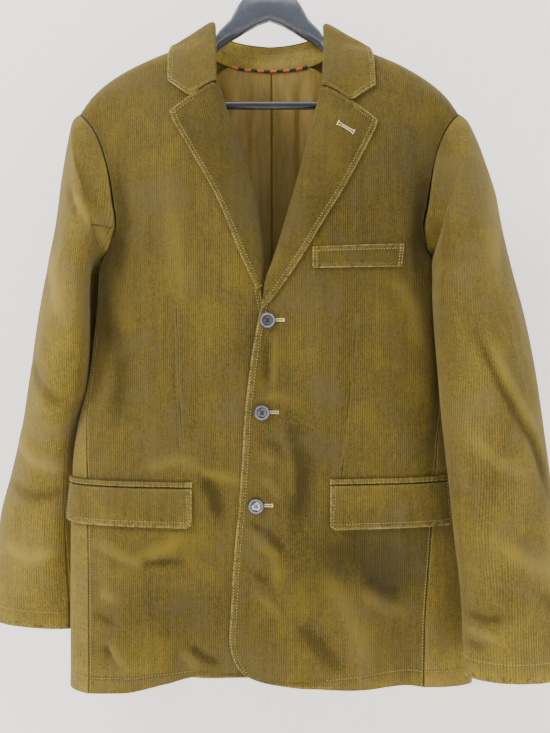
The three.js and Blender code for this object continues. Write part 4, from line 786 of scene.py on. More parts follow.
def sew(node, material, thickness):
    """Makes a cloth piece in place of its solid, and keeps its grid for the stitching."""
    grid = fine_grid(node)
    drop, lift = edge_profile(node, grid, thickness)
    relief = piece_relief(node, grid)
    dart = np.full(relief.shape, NO_BORDER)
    if node in DARTS:
        off, share = line_distance(grid["points"][..., 0] / MM, grid["points"][..., 2] / MM, DARTS[node])
        dart = off * MM + np.where((share <= 0) | (share >= 1), 0.002, 0)
        relief = relief - gaussian(off, 0, DART_HALF_WIDTH) * DART_DEPTH * MM * smooth(share * 3)
    outer = grid["points"] + grid["normal"] * (relief + drop)[..., None]
    inner = grid["points"] + grid["normal"] * (relief - thickness + lift)[..., None]
    attributes = {
        "edge": border_distance(node, grid, "e"),
        "seam": np.minimum(border_distance(node, grid, "s"), dart),
        "nap": blobs(grid["points"], grid["normal"], BRUSHED),
        # Each piece's tone with painted light and shade, from the tables of tones and of lighter and darker places
        "tone_and_painted_light": PIECE_TONES_AND_PAINTED_LIGHT.get(node, 1.0) + blobs(grid["points"], grid["normal"], NAP_TONE_AND_PAINTED_LIGHT),
        # Height of the relief, which lightens the colour on ridges and darkens it in hollows, as painted light and
        # shade
        "lift": (relief + PUCKER_SHADE * drop) / MM,
    }
    piece = shell(f"{node}_cloth", outer, inner, grid["turned"], wale_map(node, grid), attributes)
    piece.data.materials.append(material)
    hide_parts(node)
    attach(piece, BODY)
    grid["outer"] = outer
    grid["outer_normal"] = grid_normals(outer) * (-1 if grid["turned"] else 1)
    finished[node] = grid
    return piece


def border_line(node, border, distance, span=(0.0, 1.0)):
    """Points and normals on a finished piece at a distance in mm from one of its borders."""
    grid = finished[node]
    off = grid[f"from_{border}"]
    points, normal = grid["outer"], grid["outer_normal"]
    if border.endswith("row"):
        off, points, normal = off.T, points.transpose(1, 0, 2), normal.transpose(1, 0, 2)
    if border.startswith("last"):
        off, points, normal = off[:, ::-1], points[:, ::-1], normal[:, ::-1]
    first, last = (round(s * (len(off) - 1)) for s in span)
    line, ways = [], []
    for i in range(first, last + 1):
        if off[i, -1] < distance * MM * 2:
            continue
        line.append([np.interp(distance * MM, off[i], points[i, :, k]) for k in range(3)])
        ways.append([np.interp(distance * MM, off[i], normal[i, :, k]) for k in range(3)])
    return np.array(line), np.array(ways)


def stitch_row(line, ways, pitch):
    """Corners and faces of a row of stitches along a line."""
    spans = np.linalg.norm(np.diff(line, axis=0), axis=1)
    total = np.concatenate([[0], np.cumsum(spans)])
    count = int(total[-1] / pitch)
    if count < 1:
        return np.zeros((0, 3)), np.zeros((0, 3), int)
    middle = (np.arange(count) + 0.5) * pitch

    def along(values, places):
        return np.stack([np.interp(places, total, values[:, k]) for k in range(3)], axis=-1)

    at, up = along(line, middle), along(ways, middle)
    way = along(line, middle + 0.6 * MM) - along(line, middle - 0.6 * MM)
    way /= np.maximum(np.linalg.norm(way, axis=1, keepdims=True), 1e-9)
    up -= way * (up * way).sum(1, keepdims=True)
    up /= np.linalg.norm(up, axis=1, keepdims=True)
    out = np.cross(way, up)
    long, wide = pitch * STITCH_SHARE / 2, STITCH_HALF_WIDTH * MM
    offsets = [(-long, 0, -0.15 * MM), (long, 0, -0.15 * MM), (0, wide, 0), (0, -wide, 0),
               (0, 0, 0.5 * MM), (0, 0, -0.3 * MM)]
    corners = np.stack([at + way * a + out * b + up * c for a, b, c in offsets], axis=1)
    pattern = np.array([
        (0, 3, 4), (3, 1, 4), (1, 2, 4), (2, 0, 4), (3, 0, 5), (1, 3, 5), (2, 1, 5), (0, 2, 5)])
    faces = (pattern[None] + 6 * np.arange(count)[:, None, None]).reshape(-1, 3)
    return corners.reshape(-1, 3), faces


def thread_piece(name, rows, material):
    corners, faces, start = [], [], 0
    for points, triangles in rows:
        corners.append(points)
        faces.append(triangles + start)
        start += len(points)
    mesh = bpy.data.meshes.new(name)
    mesh.from_pydata(np.concatenate(corners).tolist(), [], np.concatenate(faces).tolist())
    mesh.update()
    piece = bpy.data.objects.new(name, mesh)
    bpy.context.collection.objects.link(piece)
    piece.data.materials.append(material)
    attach(piece, BODY)
    return piece


# Materials


def add_node(tree, kind, inputs=None, **values):
    made = tree.nodes.new(kind)
    for key, value in values.items():
        setattr(made, key, value)
    for key, value in (inputs or {}).items():
        if isinstance(value, bpy.types.NodeSocket):
            tree.links.new(value, made.inputs[key])
        else:
            made.inputs[key].default_value = value
    return made


def calc(tree, operation, a, b=0.0, c=0.0, clamp=False):
    inputs = {0: a, 1: b, 2: c}
    return add_node(tree, "ShaderNodeMath", inputs, operation=operation, use_clamp=clamp).outputs[0]


def ramp(tree, value, low, high, start=0.0, end=1.0):
    """A value taken smoothly from start to end as it goes from low to high."""
    inputs = {"Value": value, "From Min": low, "From Max": high, "To Min": start, "To Max": end}
    return add_node(tree, "ShaderNodeMapRange", inputs, interpolation_type="SMOOTHSTEP").outputs[0]


def blend(tree, share, a, b, mode="MIX"):
    mixed = add_node(tree, "ShaderNodeMix", {0: share, 6: a, 7: b}, data_type="RGBA", blend_type=mode)
    return mixed.outputs[2]


def noise(tree, vector, scale, detail=2.0, rough=0.5, distortion=0.0):
    inputs = {"Vector": vector, "Scale": scale, "Detail": detail, "Roughness": rough, "Distortion": distortion}
    return add_node(tree, "ShaderNodeTexNoise", inputs).outputs["Fac"]


def new_group(name, inputs, outputs):
    tree = bpy.data.node_groups.new(name, "ShaderNodeTree")
    for socket, kind, value in inputs:
        made = tree.interface.new_socket(socket, in_out="INPUT", socket_type=kind)
        if value is not None:
            made.default_value = value
    for socket, kind in outputs:
        tree.interface.new_socket(socket, in_out="OUTPUT", socket_type=kind)
    return tree, tree.nodes.new("NodeGroupInput").outputs, tree.nodes.new("NodeGroupOutput").inputs


def wale_group():
    """Ribs of corduroy along V of a UV map: 1 on top of a wale and 0 between two."""
    tree, given, result = new_group(
        "Wales",
        [("UV", "NodeSocketVector", None), ("Object", "NodeSocketVector", None),
         ("Pitch", "NodeSocketFloat", 0.002)],
        [("Rib", "NodeSocketFloat"), ("Tuft", "NodeSocketFloat")])
    parts = add_node(tree, "ShaderNodeSeparateXYZ", {0: given["UV"]}).outputs
    drift = calc(tree, "MULTIPLY", calc(tree, "SUBTRACT", noise(tree, given["Object"], 45.0, 2.0), 0.5), 0.0011)
    turns = calc(tree, "DIVIDE", calc(tree, "ADD", parts[0], drift), given["Pitch"])
    wave = calc(tree, "SINE", calc(tree, "MULTIPLY", turns, 2 * math.pi))
    tree.links.new(calc(tree, "POWER", calc(tree, "MULTIPLY_ADD", wave, 0.5, 0.5), 0.75), result["Rib"])
    tufts = stretched(tree, given["UV"], (620.0, 75.0, 1.0))
    tree.links.new(noise(tree, tufts, 1.0, 3.0, 0.6), result["Tuft"])
    return tree


def nap_group():
    """Mottling of a brushed nap: large patches, streaks down the cloth, and fine specks."""
    tree, given, result = new_group(
        "Brushed nap", [("Object", "NodeSocketVector", None), ("Scale", "NodeSocketFloat", 1.0)],
        [("Patch", "NodeSocketFloat"), ("Streak", "NodeSocketFloat"), ("Speck", "NodeSocketFloat")])
    at = scaled(tree, given["Object"], given["Scale"])
    patch = noise(tree, at, 19.0, 4.0, 0.58, 0.9)
    tree.links.new(ramp(tree, patch, 0.33, 0.67, -1.0, 1.0), result["Patch"])
    tree.links.new(noise(tree, stretched(tree, at, (150.0, 150.0, 11.0)), 1.0, 3.0, 0.6), result["Streak"])
    tree.links.new(noise(tree, at, 400.0, 3.0, 0.7), result["Speck"])
    return tree


def wear_group():
    """Mask of a rubbed line at a distance in metres, broken up by noise."""
    tree, given, result = new_group(
        "Rubbed line",
        [("Distance", "NodeSocketFloat", 0.0), ("Width", "NodeSocketFloat", 0.001),
         ("Object", "NodeSocketVector", None), ("Scale", "NodeSocketFloat", 120.0)],
        [("Mask", "NodeSocketFloat")])
    near = calc(tree, "SUBTRACT", 1.0, calc(tree, "DIVIDE", given["Distance"], given["Width"]), clamp=True)
    broken = ramp(tree, noise(tree, given["Object"], 150.0, 3.0, 0.6), 0.3, 0.62, 0.35, 1.0)
    slow = ramp(tree, noise(tree, scaled(tree, given["Object"], given["Scale"]), 0.25, 2.0), 0.35, 0.6, 0.5, 1.0)
    mask = calc(tree, "MULTIPLY", calc(tree, "POWER", near, 0.8), broken)
    mask = calc(tree, "MULTIPLY", mask, slow, clamp=True)
    tree.links.new(mask, result["Mask"])
    return tree


def shared_group(name, make):
    return bpy.data.node_groups.get(name) or make()


def new_material(name):
    material = bpy.data.materials.new(name)
    material.use_nodes = True
    tree = material.node_tree
    return material, tree, tree.nodes["Principled BSDF"]


def attribute(tree, name):
    return add_node(tree, "ShaderNodeAttribute", attribute_name=name).outputs["Fac"]


def use_group(tree, group, inputs):
    return add_node(tree, "ShaderNodeGroup", inputs, node_tree=group).outputs


def scaled(tree, vector, scale):
    return add_node(tree, "ShaderNodeVectorMath", {0: vector, "Scale": scale}, operation="SCALE").outputs[0]


def stretched(tree, vector, scales):
    return add_node(tree, "ShaderNodeVectorMath", {0: vector, 1: scales}, operation="MULTIPLY").outputs[0]


def object_place(tree):
    return add_node(tree, "ShaderNodeTexCoord").outputs["Object"]


def bump(tree, shader, height, strength, distance):
    """Fine relief of a surface."""
    made = add_node(tree, "ShaderNodeBump", {"Height": height, "Strength": strength, "Distance": distance})
    tree.links.new(made.outputs[0], shader.inputs["Normal"])


def colour(rgb):
    return (*rgb, 1.0)


def corduroy_material():
    """Olive-brown corduroy: wales, brushed nap, rubbed edges and seams, with painted shade between the wales, in
    seams and in puckers, and painted light and shade on folds and on each piece.
    """
    made = bpy.data.materials.get("Corduroy")
    if made:
        return made
    given = settings()
    made, tree, shader = new_material("Corduroy")
    uv = add_node(tree, "ShaderNodeUVMap", uv_map="UVMap").outputs[0]
    place = object_place(tree)
    ribs = {"UV": uv, "Object": place, "Pitch": given.wale_pitch}
    wale = use_group(tree, shared_group("Wales", wale_group), ribs)
    nap = use_group(tree, shared_group("Brushed nap", nap_group), {"Object": place})
    edge, seam, brushed = (attribute(tree, key) for key in ("edge", "seam", "nap"))
    rubbed = shared_group("Rubbed line", wear_group)
    on_edge = use_group(tree, rubbed, {"Distance": edge, "Width": WORN_EDGE, "Object": place})["Mask"]
    on_fold = use_group(tree, rubbed, {"Distance": edge, "Width": WORN_FOLD, "Object": place})["Mask"]

    def part(value, middle, weight):
        return calc(tree, "MULTIPLY", calc(tree, "SUBTRACT", value, middle), weight)

    # The ribs darken the colour between the wales, as painted shade in their grooves; tufts, streaks and specks
    # mottle the nap
    shown = ramp(tree, noise(tree, place, 26.0, 3.0, 0.6), 0.36, 0.62, 0.1, 0.42)
    mixed = calc(tree, "ADD", calc(tree, "MULTIPLY", part(wale["Rib"], 0.55, 1.0), shown), 0.47)
    for value, weight in ((wale["Tuft"], 0.42), (nap["Streak"], 0.36), (nap["Speck"], 1.05)):
        mixed = calc(tree, "ADD", mixed, part(value, 0.5, weight))
    # Painted light on the ridges of folds, puckers and edges, and painted shade in their hollows
    mixed = calc(tree, "ADD", mixed, calc(tree, "MULTIPLY", attribute(tree, "lift"), 0.16))
    tone_and_painted_light = ramp(tree, mixed, 0.0, 1.0)
    base = blend(tree, tone_and_painted_light, colour(given.dark), colour(given.light))
    lying = calc(tree, "ADD", calc(tree, "MULTIPLY", nap["Patch"], 0.66), calc(tree, "MULTIPLY", brushed, 0.7))
    lying = calc(tree, "ADD", lying, part(noise(tree, place, 120.0, 3.0, 0.6), 0.5, 0.9))
    golden = calc(tree, "MULTIPLY", ramp(tree, lying, 0.0, 1.1), calc(tree, "MULTIPLY", tone_and_painted_light, 0.85))
    base = blend(tree, golden, base, colour(given.gold))
    away = ramp(tree, lying, 0.0, -1.1, 0.0, 0.7)
    greyed = calc(tree, "MULTIPLY", away, ramp(tree, tone_and_painted_light, 0.0, 0.7, 0.4, 1.0))
    base = blend(tree, greyed, base, colour(given.grey))
    # Multiplies the colour by each piece's tone and its painted light and shade
    piece_tone_and_painted_light = add_node(tree, "ShaderNodeCombineXYZ", {k: attribute(tree, "tone_and_painted_light") for k in range(3)}).outputs[0]
    base = blend(tree, 1.0, base, piece_tone_and_painted_light, "MULTIPLY")
    base = blend(tree, calc(tree, "MULTIPLY", on_fold, 0.1), base, colour(given.worn))
    base = blend(tree, calc(tree, "MULTIPLY", on_edge, 0.62), base, colour(given.worn))
    # A faint paler band beside each seam in the worn colour, then the colour darker within 0.9 mm of seams and
    # darts, as painted shade in the seam's groove
    beside = calc(tree, "MULTIPLY", ramp(tree, seam, 0.0008, 0.0016), ramp(tree, seam, 0.0042, 0.0016))
    base = blend(tree, calc(tree, "MULTIPLY", beside, 0.05), base, colour(given.worn))
    base = blend(tree, 1.0, base, ramp(tree, seam, 0.0, 0.0009, 0.42, 1.0), "MULTIPLY")
    gathers = noise(tree, scaled(tree, place, 240.0), 1.0, 2.0)
    pucker = calc(tree, "MULTIPLY", gathers, ramp(tree, edge, 0.0105, 0.006))
    # Darker hollows between the gathers beside stitched edges, as painted shade of the puckers
    painted_pucker_shade = calc(tree, "MULTIPLY", ramp(tree, gathers, 0.5, 0.36), ramp(tree, edge, 0.0085, 0.0062, 0.0, 0.6))
    base = blend(tree, painted_pucker_shade, base, colour(given.dark))
    tree.links.new(base, shader.inputs["Base Color"])

    height = calc(tree, "MULTIPLY", wale["Rib"], 0.34)
    for value, weight in ((nap["Speck"], 0.16), (pucker, 1.3)):
        height = calc(tree, "ADD", height, calc(tree, "MULTIPLY", value, weight))
    height = calc(tree, "ADD", height, ramp(tree, seam, 0.0, 0.0016, -0.9, 0.0))
    height = calc(tree, "ADD", height, calc(tree, "MULTIPLY", noise(tree, place, 60.0, 3.0), 0.9))
    bump(tree, shader, height, 0.75, 0.001)
    tree.links.new(ramp(tree, nap["Speck"], 0.2, 0.8, 0.82, 0.98), shader.inputs["Roughness"])
    shader.inputs["Specular IOR Level"].default_value = 0.16
    shader.inputs["Sheen Weight"].default_value = 0.14
    shader.inputs["Sheen Roughness"].default_value = 0.42
    shader.inputs["Sheen Tint"].default_value = (0.95, 0.84, 0.52, 1.0)
    return made


def lining_material():
    """Bronze sateen with a fine thread and soft shade in its folds."""
    made, tree, shader = new_material("Lining sateen")
    place = object_place(tree)
    nap = use_group(tree, shared_group("Brushed nap", nap_group), {"Object": place})
    share = calc(tree, "ADD", calc(tree, "MULTIPLY", nap["Streak"], 0.6), calc(tree, "MULTIPLY", nap["Speck"], 0.3))
    base = settings().lining
    deep, pale = colour([0.72 * c for c in base]), colour([1.2 * c for c in base])
    tree.links.new(blend(tree, ramp(tree, share, 0.25, 0.7), deep, pale), shader.inputs["Base Color"])
    threads = noise(tree, stretched(tree, place, (2600.0, 600.0, 900.0)), 1.0, 1.0)
    bump(tree, shader, threads, 0.25, 0.0003)
    shader.inputs["Roughness"].default_value = 0.5
    shader.inputs["Specular IOR Level"].default_value = 0.35
    shader.inputs["Sheen Weight"].default_value = 0.1
    return made


def piping_material():
    """Cord whose dark and rust-coloured stretches take turns evenly."""
    made, tree, shader = new_material("Two-colour piping")
    uv = add_node(tree, "ShaderNodeUVMap", uv_map="UVMap").outputs[0]
    parts = add_node(tree, "ShaderNodeSeparateXYZ", {0: uv}).outputs
    turn = calc(tree, "SINE", calc(tree, "MULTIPLY", parts[1], 2 * math.pi / PIPING_STRIPE))
    share = ramp(tree, turn, -0.04, 0.04)
    base = blend(tree, share, (0.02, 0.02, 0.022, 1.0), (0.72, 0.15, 0.03, 1.0))
    turns = calc(tree, "MULTIPLY", calc(tree, "ADD", parts[1], parts[0]), 2 * math.pi / PIPING_TWIST)
    twist = calc(tree, "SINE", turns)
    # Darker between the cord's turns, as painted shade in the grooves of its twist
    base = blend(tree, 1.0, base, ramp(tree, twist, -1.0, 0.4, 0.6, 1.0), "MULTIPLY")
    tree.links.new(base, shader.inputs["Base Color"])
    bump(tree, shader, twist, 0.5, 0.0002)
    shader.inputs["Roughness"].default_value = 0.75
    return made


def thread_material(name, rgb):
    made, tree, shader = new_material(name)
    place = object_place(tree)
    share = ramp(tree, noise(tree, place, 260.0, 3.0, 0.6), 0.3, 0.7)
    tree.links.new(blend(tree, share, colour([0.55 * c for c in rgb]), colour(rgb)), shader.inputs["Base Color"])
    bump(tree, shader, noise(tree, place, 2400.0), 0.4, 0.0003)
    shader.inputs["Roughness"].default_value = 0.7
    return made


def horn_material(name, lighter):
    """Grey horn with cloudy bands: a black outer edge, a paler ring and a middle of its own."""
    made, tree, shader = new_material(name)
    place = object_place(tree)
    bands = noise(tree, place, 210.0, 3.0, 0.55, 1.6)
    base = settings().horn
    off = attribute(tree, "radius")
    ring = calc(tree, "MULTIPLY", ramp(tree, off, 0.0062, 0.0068), ramp(tree, off, 0.0088, 0.0082))
    middle = ramp(tree, off, 0.0058, 0.0052)
    mixed = blend(tree, ring, (0.012, 0.011, 0.012, 1.0), colour([1.7 * c for c in base]))
    mixed = blend(tree, middle, mixed, colour([lighter * c for c in base]))
    mixed = blend(tree, 1.0, mixed, ramp(tree, bands, 0.32, 0.66, 0.55, 1.25), "MULTIPLY")
    tree.links.new(mixed, shader.inputs["Base Color"])
    tree.links.new(ramp(tree, bands, 0.3, 0.7, 0.3, 0.45), shader.inputs["Roughness"])
    bump(tree, shader, noise(tree, place, 900.0), 0.12, 0.0003)
    shader.inputs["Coat Weight"].default_value = 0.3
    shader.inputs["Coat Roughness"].default_value = 0.2
    return made


def plastic_material(name="Hanger plastic", paler=1.0, rough=(0.2, 0.34)):
    """Charcoal moulded plastic: satin, finely grained and a little dusty."""
    made, tree, shader = new_material(name)
    place = object_place(tree)
    cloud, grain = noise(tree, place, 22.0, 4.0, 0.6), noise(tree, place, 1500.0, 2.0)
    base = [paler * c for c in settings().plastic]
    dusty = calc(tree, "MULTIPLY", ramp(tree, cloud, 0.35, 0.75), ramp(tree, grain, 0.4, 0.7))
    tree.links.new(blend(tree, calc(tree, "MULTIPLY", dusty, 0.35), colour(base), (0.12, 0.125, 0.14, 1.0)),
                   shader.inputs["Base Color"])
    tree.links.new(ramp(tree, cloud, 0.3, 0.7, *rough), shader.inputs["Roughness"])
    bump(tree, shader, grain, 0.25, 0.0002)
    shader.inputs["Specular IOR Level"].default_value = 0.6
    return made


def steel_material():
    """Bright plated wire with faint drawing marks and a few dull spots."""
    made, tree, shader = new_material("Hook steel")
    place = object_place(tree)
    marks = noise(tree, place, 180.0, 4.0, 0.6)
    tree.links.new(blend(tree, ramp(tree, marks, 0.3, 0.7), (0.5, 0.5, 0.52, 1.0), (0.68, 0.68, 0.7, 1.0)),
                   shader.inputs["Base Color"])
    tree.links.new(ramp(tree, marks, 0.35, 0.75, 0.18, 0.38), shader.inputs["Roughness"])
    shader.inputs["Metallic"].default_value = 1.0
    bump(tree, shader, marks, 0.1, 0.0003)
    return made


# Rigid pieces


def deselect():
    for piece in bpy.context.selected_objects:
        piece.select_set(False)


def solid_copy(node, name):
    """A copy of a CAD node with its loose triangles merged into faces."""
    deselect()
    piece = bpy.data.objects.new(name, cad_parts[node].data.copy())
    bpy.context.collection.objects.link(piece)
    piece.data.materials.clear()
    bpy.context.view_layer.objects.active = piece
    piece.select_set(True)
    bpy.ops.object.mode_set(mode="EDIT")
    bpy.ops.mesh.select_all(action="SELECT")
    bpy.ops.mesh.remove_doubles(threshold=MERGE)
    bpy.ops.mesh.tris_convert_to_quads(face_threshold=math.radians(60), shape_threshold=math.radians(80))
    bpy.ops.object.mode_set(mode="OBJECT")
    return piece


def bevel_edges(piece, width):
    modifier = piece.modifiers.new("Edges", "BEVEL")
    # Bevel faces take the second, paler material: painted highlight along the edges, with wear
    modifier.width, modifier.segments, modifier.material = width, 2, 1
    modifier.limit_method, modifier.angle_limit = "ANGLE", math.radians(40)
    bpy.ops.object.modifier_apply(modifier=modifier.name)
    bpy.ops.object.shade_smooth_by_angle(angle=math.radians(32))


def round_off(piece, levels):
    modifier = piece.modifiers.new("Rounding", "SUBSURF")
    modifier.levels = modifier.render_levels = levels
    bpy.ops.object.modifier_apply(modifier=modifier.name)
    bpy.ops.object.shade_smooth()


def button_frame(node):
    """Middle and outward axis of a button, from its solid."""
    points = np.array([v.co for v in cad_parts[node].data.vertices])
    middle = (points.min(0) + points.max(0)) / 2
    _, _, axes = np.linalg.svd(points - points.mean(0), full_matrices=False)
    axis = axes[2] if axes[2][1] < 0 else -axes[2]
    return Vector(middle), Vector(axis)


def turned_disc(name):
    """A dished button with a raised rim and four holes, at the origin and facing +Z."""
    deselect()
    bpy.ops.mesh.primitive_cylinder_add(vertices=48, radius=BUTTON_RADIUS * MM, depth=BUTTON_DEPTH * MM)
    piece = bpy.context.object
    piece.name = name
    bpy.ops.object.mode_set(mode="EDIT")
    bpy.ops.mesh.select_mode(type="FACE")
    bpy.ops.mesh.select_all(action="DESELECT")
    mesh = bmesh.from_edit_mesh(piece.data)
    for face in mesh.faces:
        face.select_set(face.normal.z > 0.9)
    bmesh.update_edit_mesh(piece.data)
    for inset, rise in BUTTON_RINGS:
        bpy.ops.mesh.inset(thickness=inset * MM)
        bpy.ops.transform.translate(value=(0, 0, rise * MM))
    bpy.ops.mesh.select_all(action="DESELECT")
    mesh = bmesh.from_edit_mesh(piece.data)
    for edge in mesh.edges:
        sharp = len(edge.link_faces) == 2 and edge.calc_face_angle() > math.radians(28)
        edge.select_set(sharp)
    bmesh.update_edit_mesh(piece.data)
    bpy.ops.mesh.bevel(offset=0.28 * MM, segments=3, affect="EDGES")
    bpy.ops.object.mode_set(mode="OBJECT")
    for i, j in ((1, 1), (1, -1), (-1, 1), (-1, -1)):
        deselect()
        bpy.ops.mesh.primitive_cylinder_add(
            vertices=16, radius=HOLE_RADIUS * MM, depth=12 * MM,
            location=(HOLE_OFFSET * MM * i, HOLE_OFFSET * MM * j, 0))
        drill = bpy.context.object
        deselect()
        piece.select_set(True)
        bpy.context.view_layer.objects.active = piece
        modifier = piece.modifiers.new("Hole", "BOOLEAN")
        modifier.operation, modifier.solver, modifier.object = "DIFFERENCE", "EXACT", drill
        bpy.ops.object.modifier_apply(modifier=modifier.name)
        bpy.data.objects.remove(drill)
    bpy.ops.object.shade_smooth_by_angle(angle=math.radians(35))
    off = [math.hypot(v.co.x, v.co.y) for v in piece.data.vertices]
    piece.data.attributes.new("radius", "FLOAT", "POINT").data.foreach_set("value", off)
    return piece


def put_in_place(piece, matrix):
    piece.data.transform(matrix)
    piece.data.update()


def thread_cross(name):
    """Two short bars of thread that cross over a button's holes."""
    corners = []
    for turn in (45, 135):
        way = np.array([math.cos(math.radians(turn)), math.sin(math.radians(turn)), 0])
        line = np.array([way * s * MM for s in (-2.4, -1.2, 0, 1.2, 2.4)])
        line[:, 2] = np.array([-0.6, 0.5, 0.85 if turn == 45 else 1.1, 0.5, -0.6]) * MM
        corners.append(tube(line, 0.42 * MM, 8))
    return mesh_piece(name, corners)


def tube(line, radius, sides=8):
    """Corners and faces of a round tube along a line of points."""
    line = np.asarray(line, float)
    way = np.gradient(line, axis=0)
    way /= np.linalg.norm(way, axis=1, keepdims=True)
    start = np.array([0.0, 0.0, 1.0]) if abs(way[0][2]) < 0.9 else np.array([1.0, 0.0, 0.0])
    out = np.cross(way, start)
    out /= np.linalg.norm(out, axis=1, keepdims=True)
    up = np.cross(out, way)
    turns = np.arange(sides) * 2 * math.pi / sides
    rings = line[:, None] + radius * (
        np.cos(turns)[None, :, None] * out[:, None] + np.sin(turns)[None, :, None] * up[:, None])
    count = len(line)
    faces = []
    for i in range(count - 1):
        a, b = i * sides, (i + 1) * sides
        faces += [(a + k, b + k, b + (k + 1) % sides, a + (k + 1) % sides) for k in range(sides)]
    faces += [tuple(range(sides)), tuple(range(count * sides - 1, (count - 1) * sides - 1, -1))]
    return rings.reshape(-1, 3), faces


def mesh_piece(name, parts):
    """One object of several closed bodies, each with its faces outwards."""
    corners, faces, start = [], [], 0
    for points, polygons in parts:
        corners += [tuple(p) for p in points]
        faces += [tuple(k + start for k in polygon) for polygon in polygons]
        start += len(points)
    mesh = bpy.data.meshes.new(name)
    mesh.from_pydata(corners, [], faces)
    shape = bmesh.new()
    shape.from_mesh(mesh)
    bmesh.ops.recalc_face_normals(shape, faces=shape.faces)
    shape.to_mesh(mesh)
    shape.free()
    mesh.polygons.foreach_set("use_smooth", np.ones(len(mesh.polygons), bool))
    piece = bpy.data.objects.new(name, mesh)
    bpy.context.collection.objects.link(piece)
    return piece


def surface_frame(piece, x, z):
    """Matrix that lays +Z on a piece's front at x and height z in mm, with +X to the right."""
    hit, point, normal, _ = piece.ray_cast(Vector((x * MM, -0.4, z * MM)), Vector((0, 1, 0)))
    if not hit:
        raise RuntimeError(f"nothing of {piece.name} lies at {x}, {z}")
    right = Vector((1, 0, 0))
    right = (right - normal * right.dot(normal)).normalized()
    up = normal.cross(right)
    return Matrix.Translation(point) @ Matrix((right, up, normal)).transposed().to_4x4()


def buttonhole(name, length, flare, matrix, material):
    """Lips of a worked buttonhole with a bar across each end."""
    half, lip = length / 2 * MM, 1.15 * MM
    parts = []
    for side in (-1, 1):
        line = [(half * s, side * (lip + flare * MM * abs(s) ** 5), 0.35 * MM) for s in np.linspace(-1, 1, 25)]
        parts.append(tube(line, 0.62 * MM))
        wide = 1.9 * MM + flare * MM
        bar = [(side * (half + 0.25 * MM), wide * s, 0.45 * MM) for s in (-1, -0.5, 0, 0.5, 1)]
        parts.append(tube(bar, 0.65 * MM))
    piece = mesh_piece(name, parts)
    put_in_place(piece, matrix)
    piece.data.materials.append(material)
    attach(piece, BODY)
    return piece


# Operators


class PieceOperator(bpy.types.Operator):
    """Makes pieces of the jacket"""

    bl_options = {"REGISTER", "UNDO"}
    nodes = ()

    def execute(self, context):
        for node in self.nodes:
            sew(node, corduroy_material(), context.scene.jacket_settings.cloth)
        return {"FINISHED"}


class JACKET_OT_body(PieceOperator):
    """Makes the fronts, side panels and backs"""

    bl_idname = "jacket.body"
    bl_label = "Body panels"
    nodes = ("front_left", "front_right", "back_left", "back_right", "side_left", "side_right")


class JACKET_OT_sleeves(PieceOperator):
    """Makes the two-piece sleeves"""

    bl_idname = "jacket.sleeves"
    bl_label = "Sleeves"
    nodes = ("sleeve_left_top", "sleeve_left_under", "sleeve_right_top", "sleeve_right_under")


class JACKET_OT_armholes(bpy.types.Operator):
    """Makes the tapes that close the armhole seams from inside, dark as painted shade in the seams"""

    bl_idname = "jacket.armholes"
    bl_label = "Armhole tapes"
    bl_options = {"REGISTER", "UNDO"}

    def execute(self, context):
        # The tape stands in for the seam allowance, its dark colour painted shade
        tape = thread_material("Seam tape, painted shade", (0.095, 0.07, 0.02))
        for side in ("left", "right"):
            parts = []
            for node in (f"sleeve_{side}_top", f"sleeve_{side}_under"):
                grid = finished[node]
                parts.append(tube(grid["points"][0] - grid["normal"][0] * TAPE_DEPTH * MM, TAPE_RADIUS * MM, 6))
            piece = mesh_piece(f"armhole_tape_{side}", parts)
            piece.data.materials.append(tape)
            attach(piece, BODY)
        return {"FINISHED"}


class JACKET_OT_lapels(PieceOperator):
    """Makes the lapels and the collar"""

    bl_idname = "jacket.lapels"
    bl_label = "Lapels and collar"
    nodes = ("collar_fall", "collar_stand", "lapel_left", "lapel_right")


class JACKET_OT_pockets(PieceOperator):
    """Makes the pocket flaps, their jets and the chest welt"""

    bl_idname = "jacket.pockets"
    bl_label = "Pockets"
    nodes = ("pocket_flap_left", "pocket_flap_right", "pocket_jet_left", "pocket_jet_right", "chest_welt")


class JACKET_OT_lining(bpy.types.Operator):
    """Makes the back lining with its pleat, and the piping at the neck"""

    bl_idname = "jacket.lining"
    bl_label = "Lining and piping"
    bl_options = {"REGISTER", "UNDO"}

    def execute(self, context):
        sateen = lining_material()
        for node in ("lining_left", "lining_right"):
            sew(node, sateen, 0.8 * MM)
        sew("neck_piping", piping_material(), 1.4 * MM)
        return {"FINISHED"}


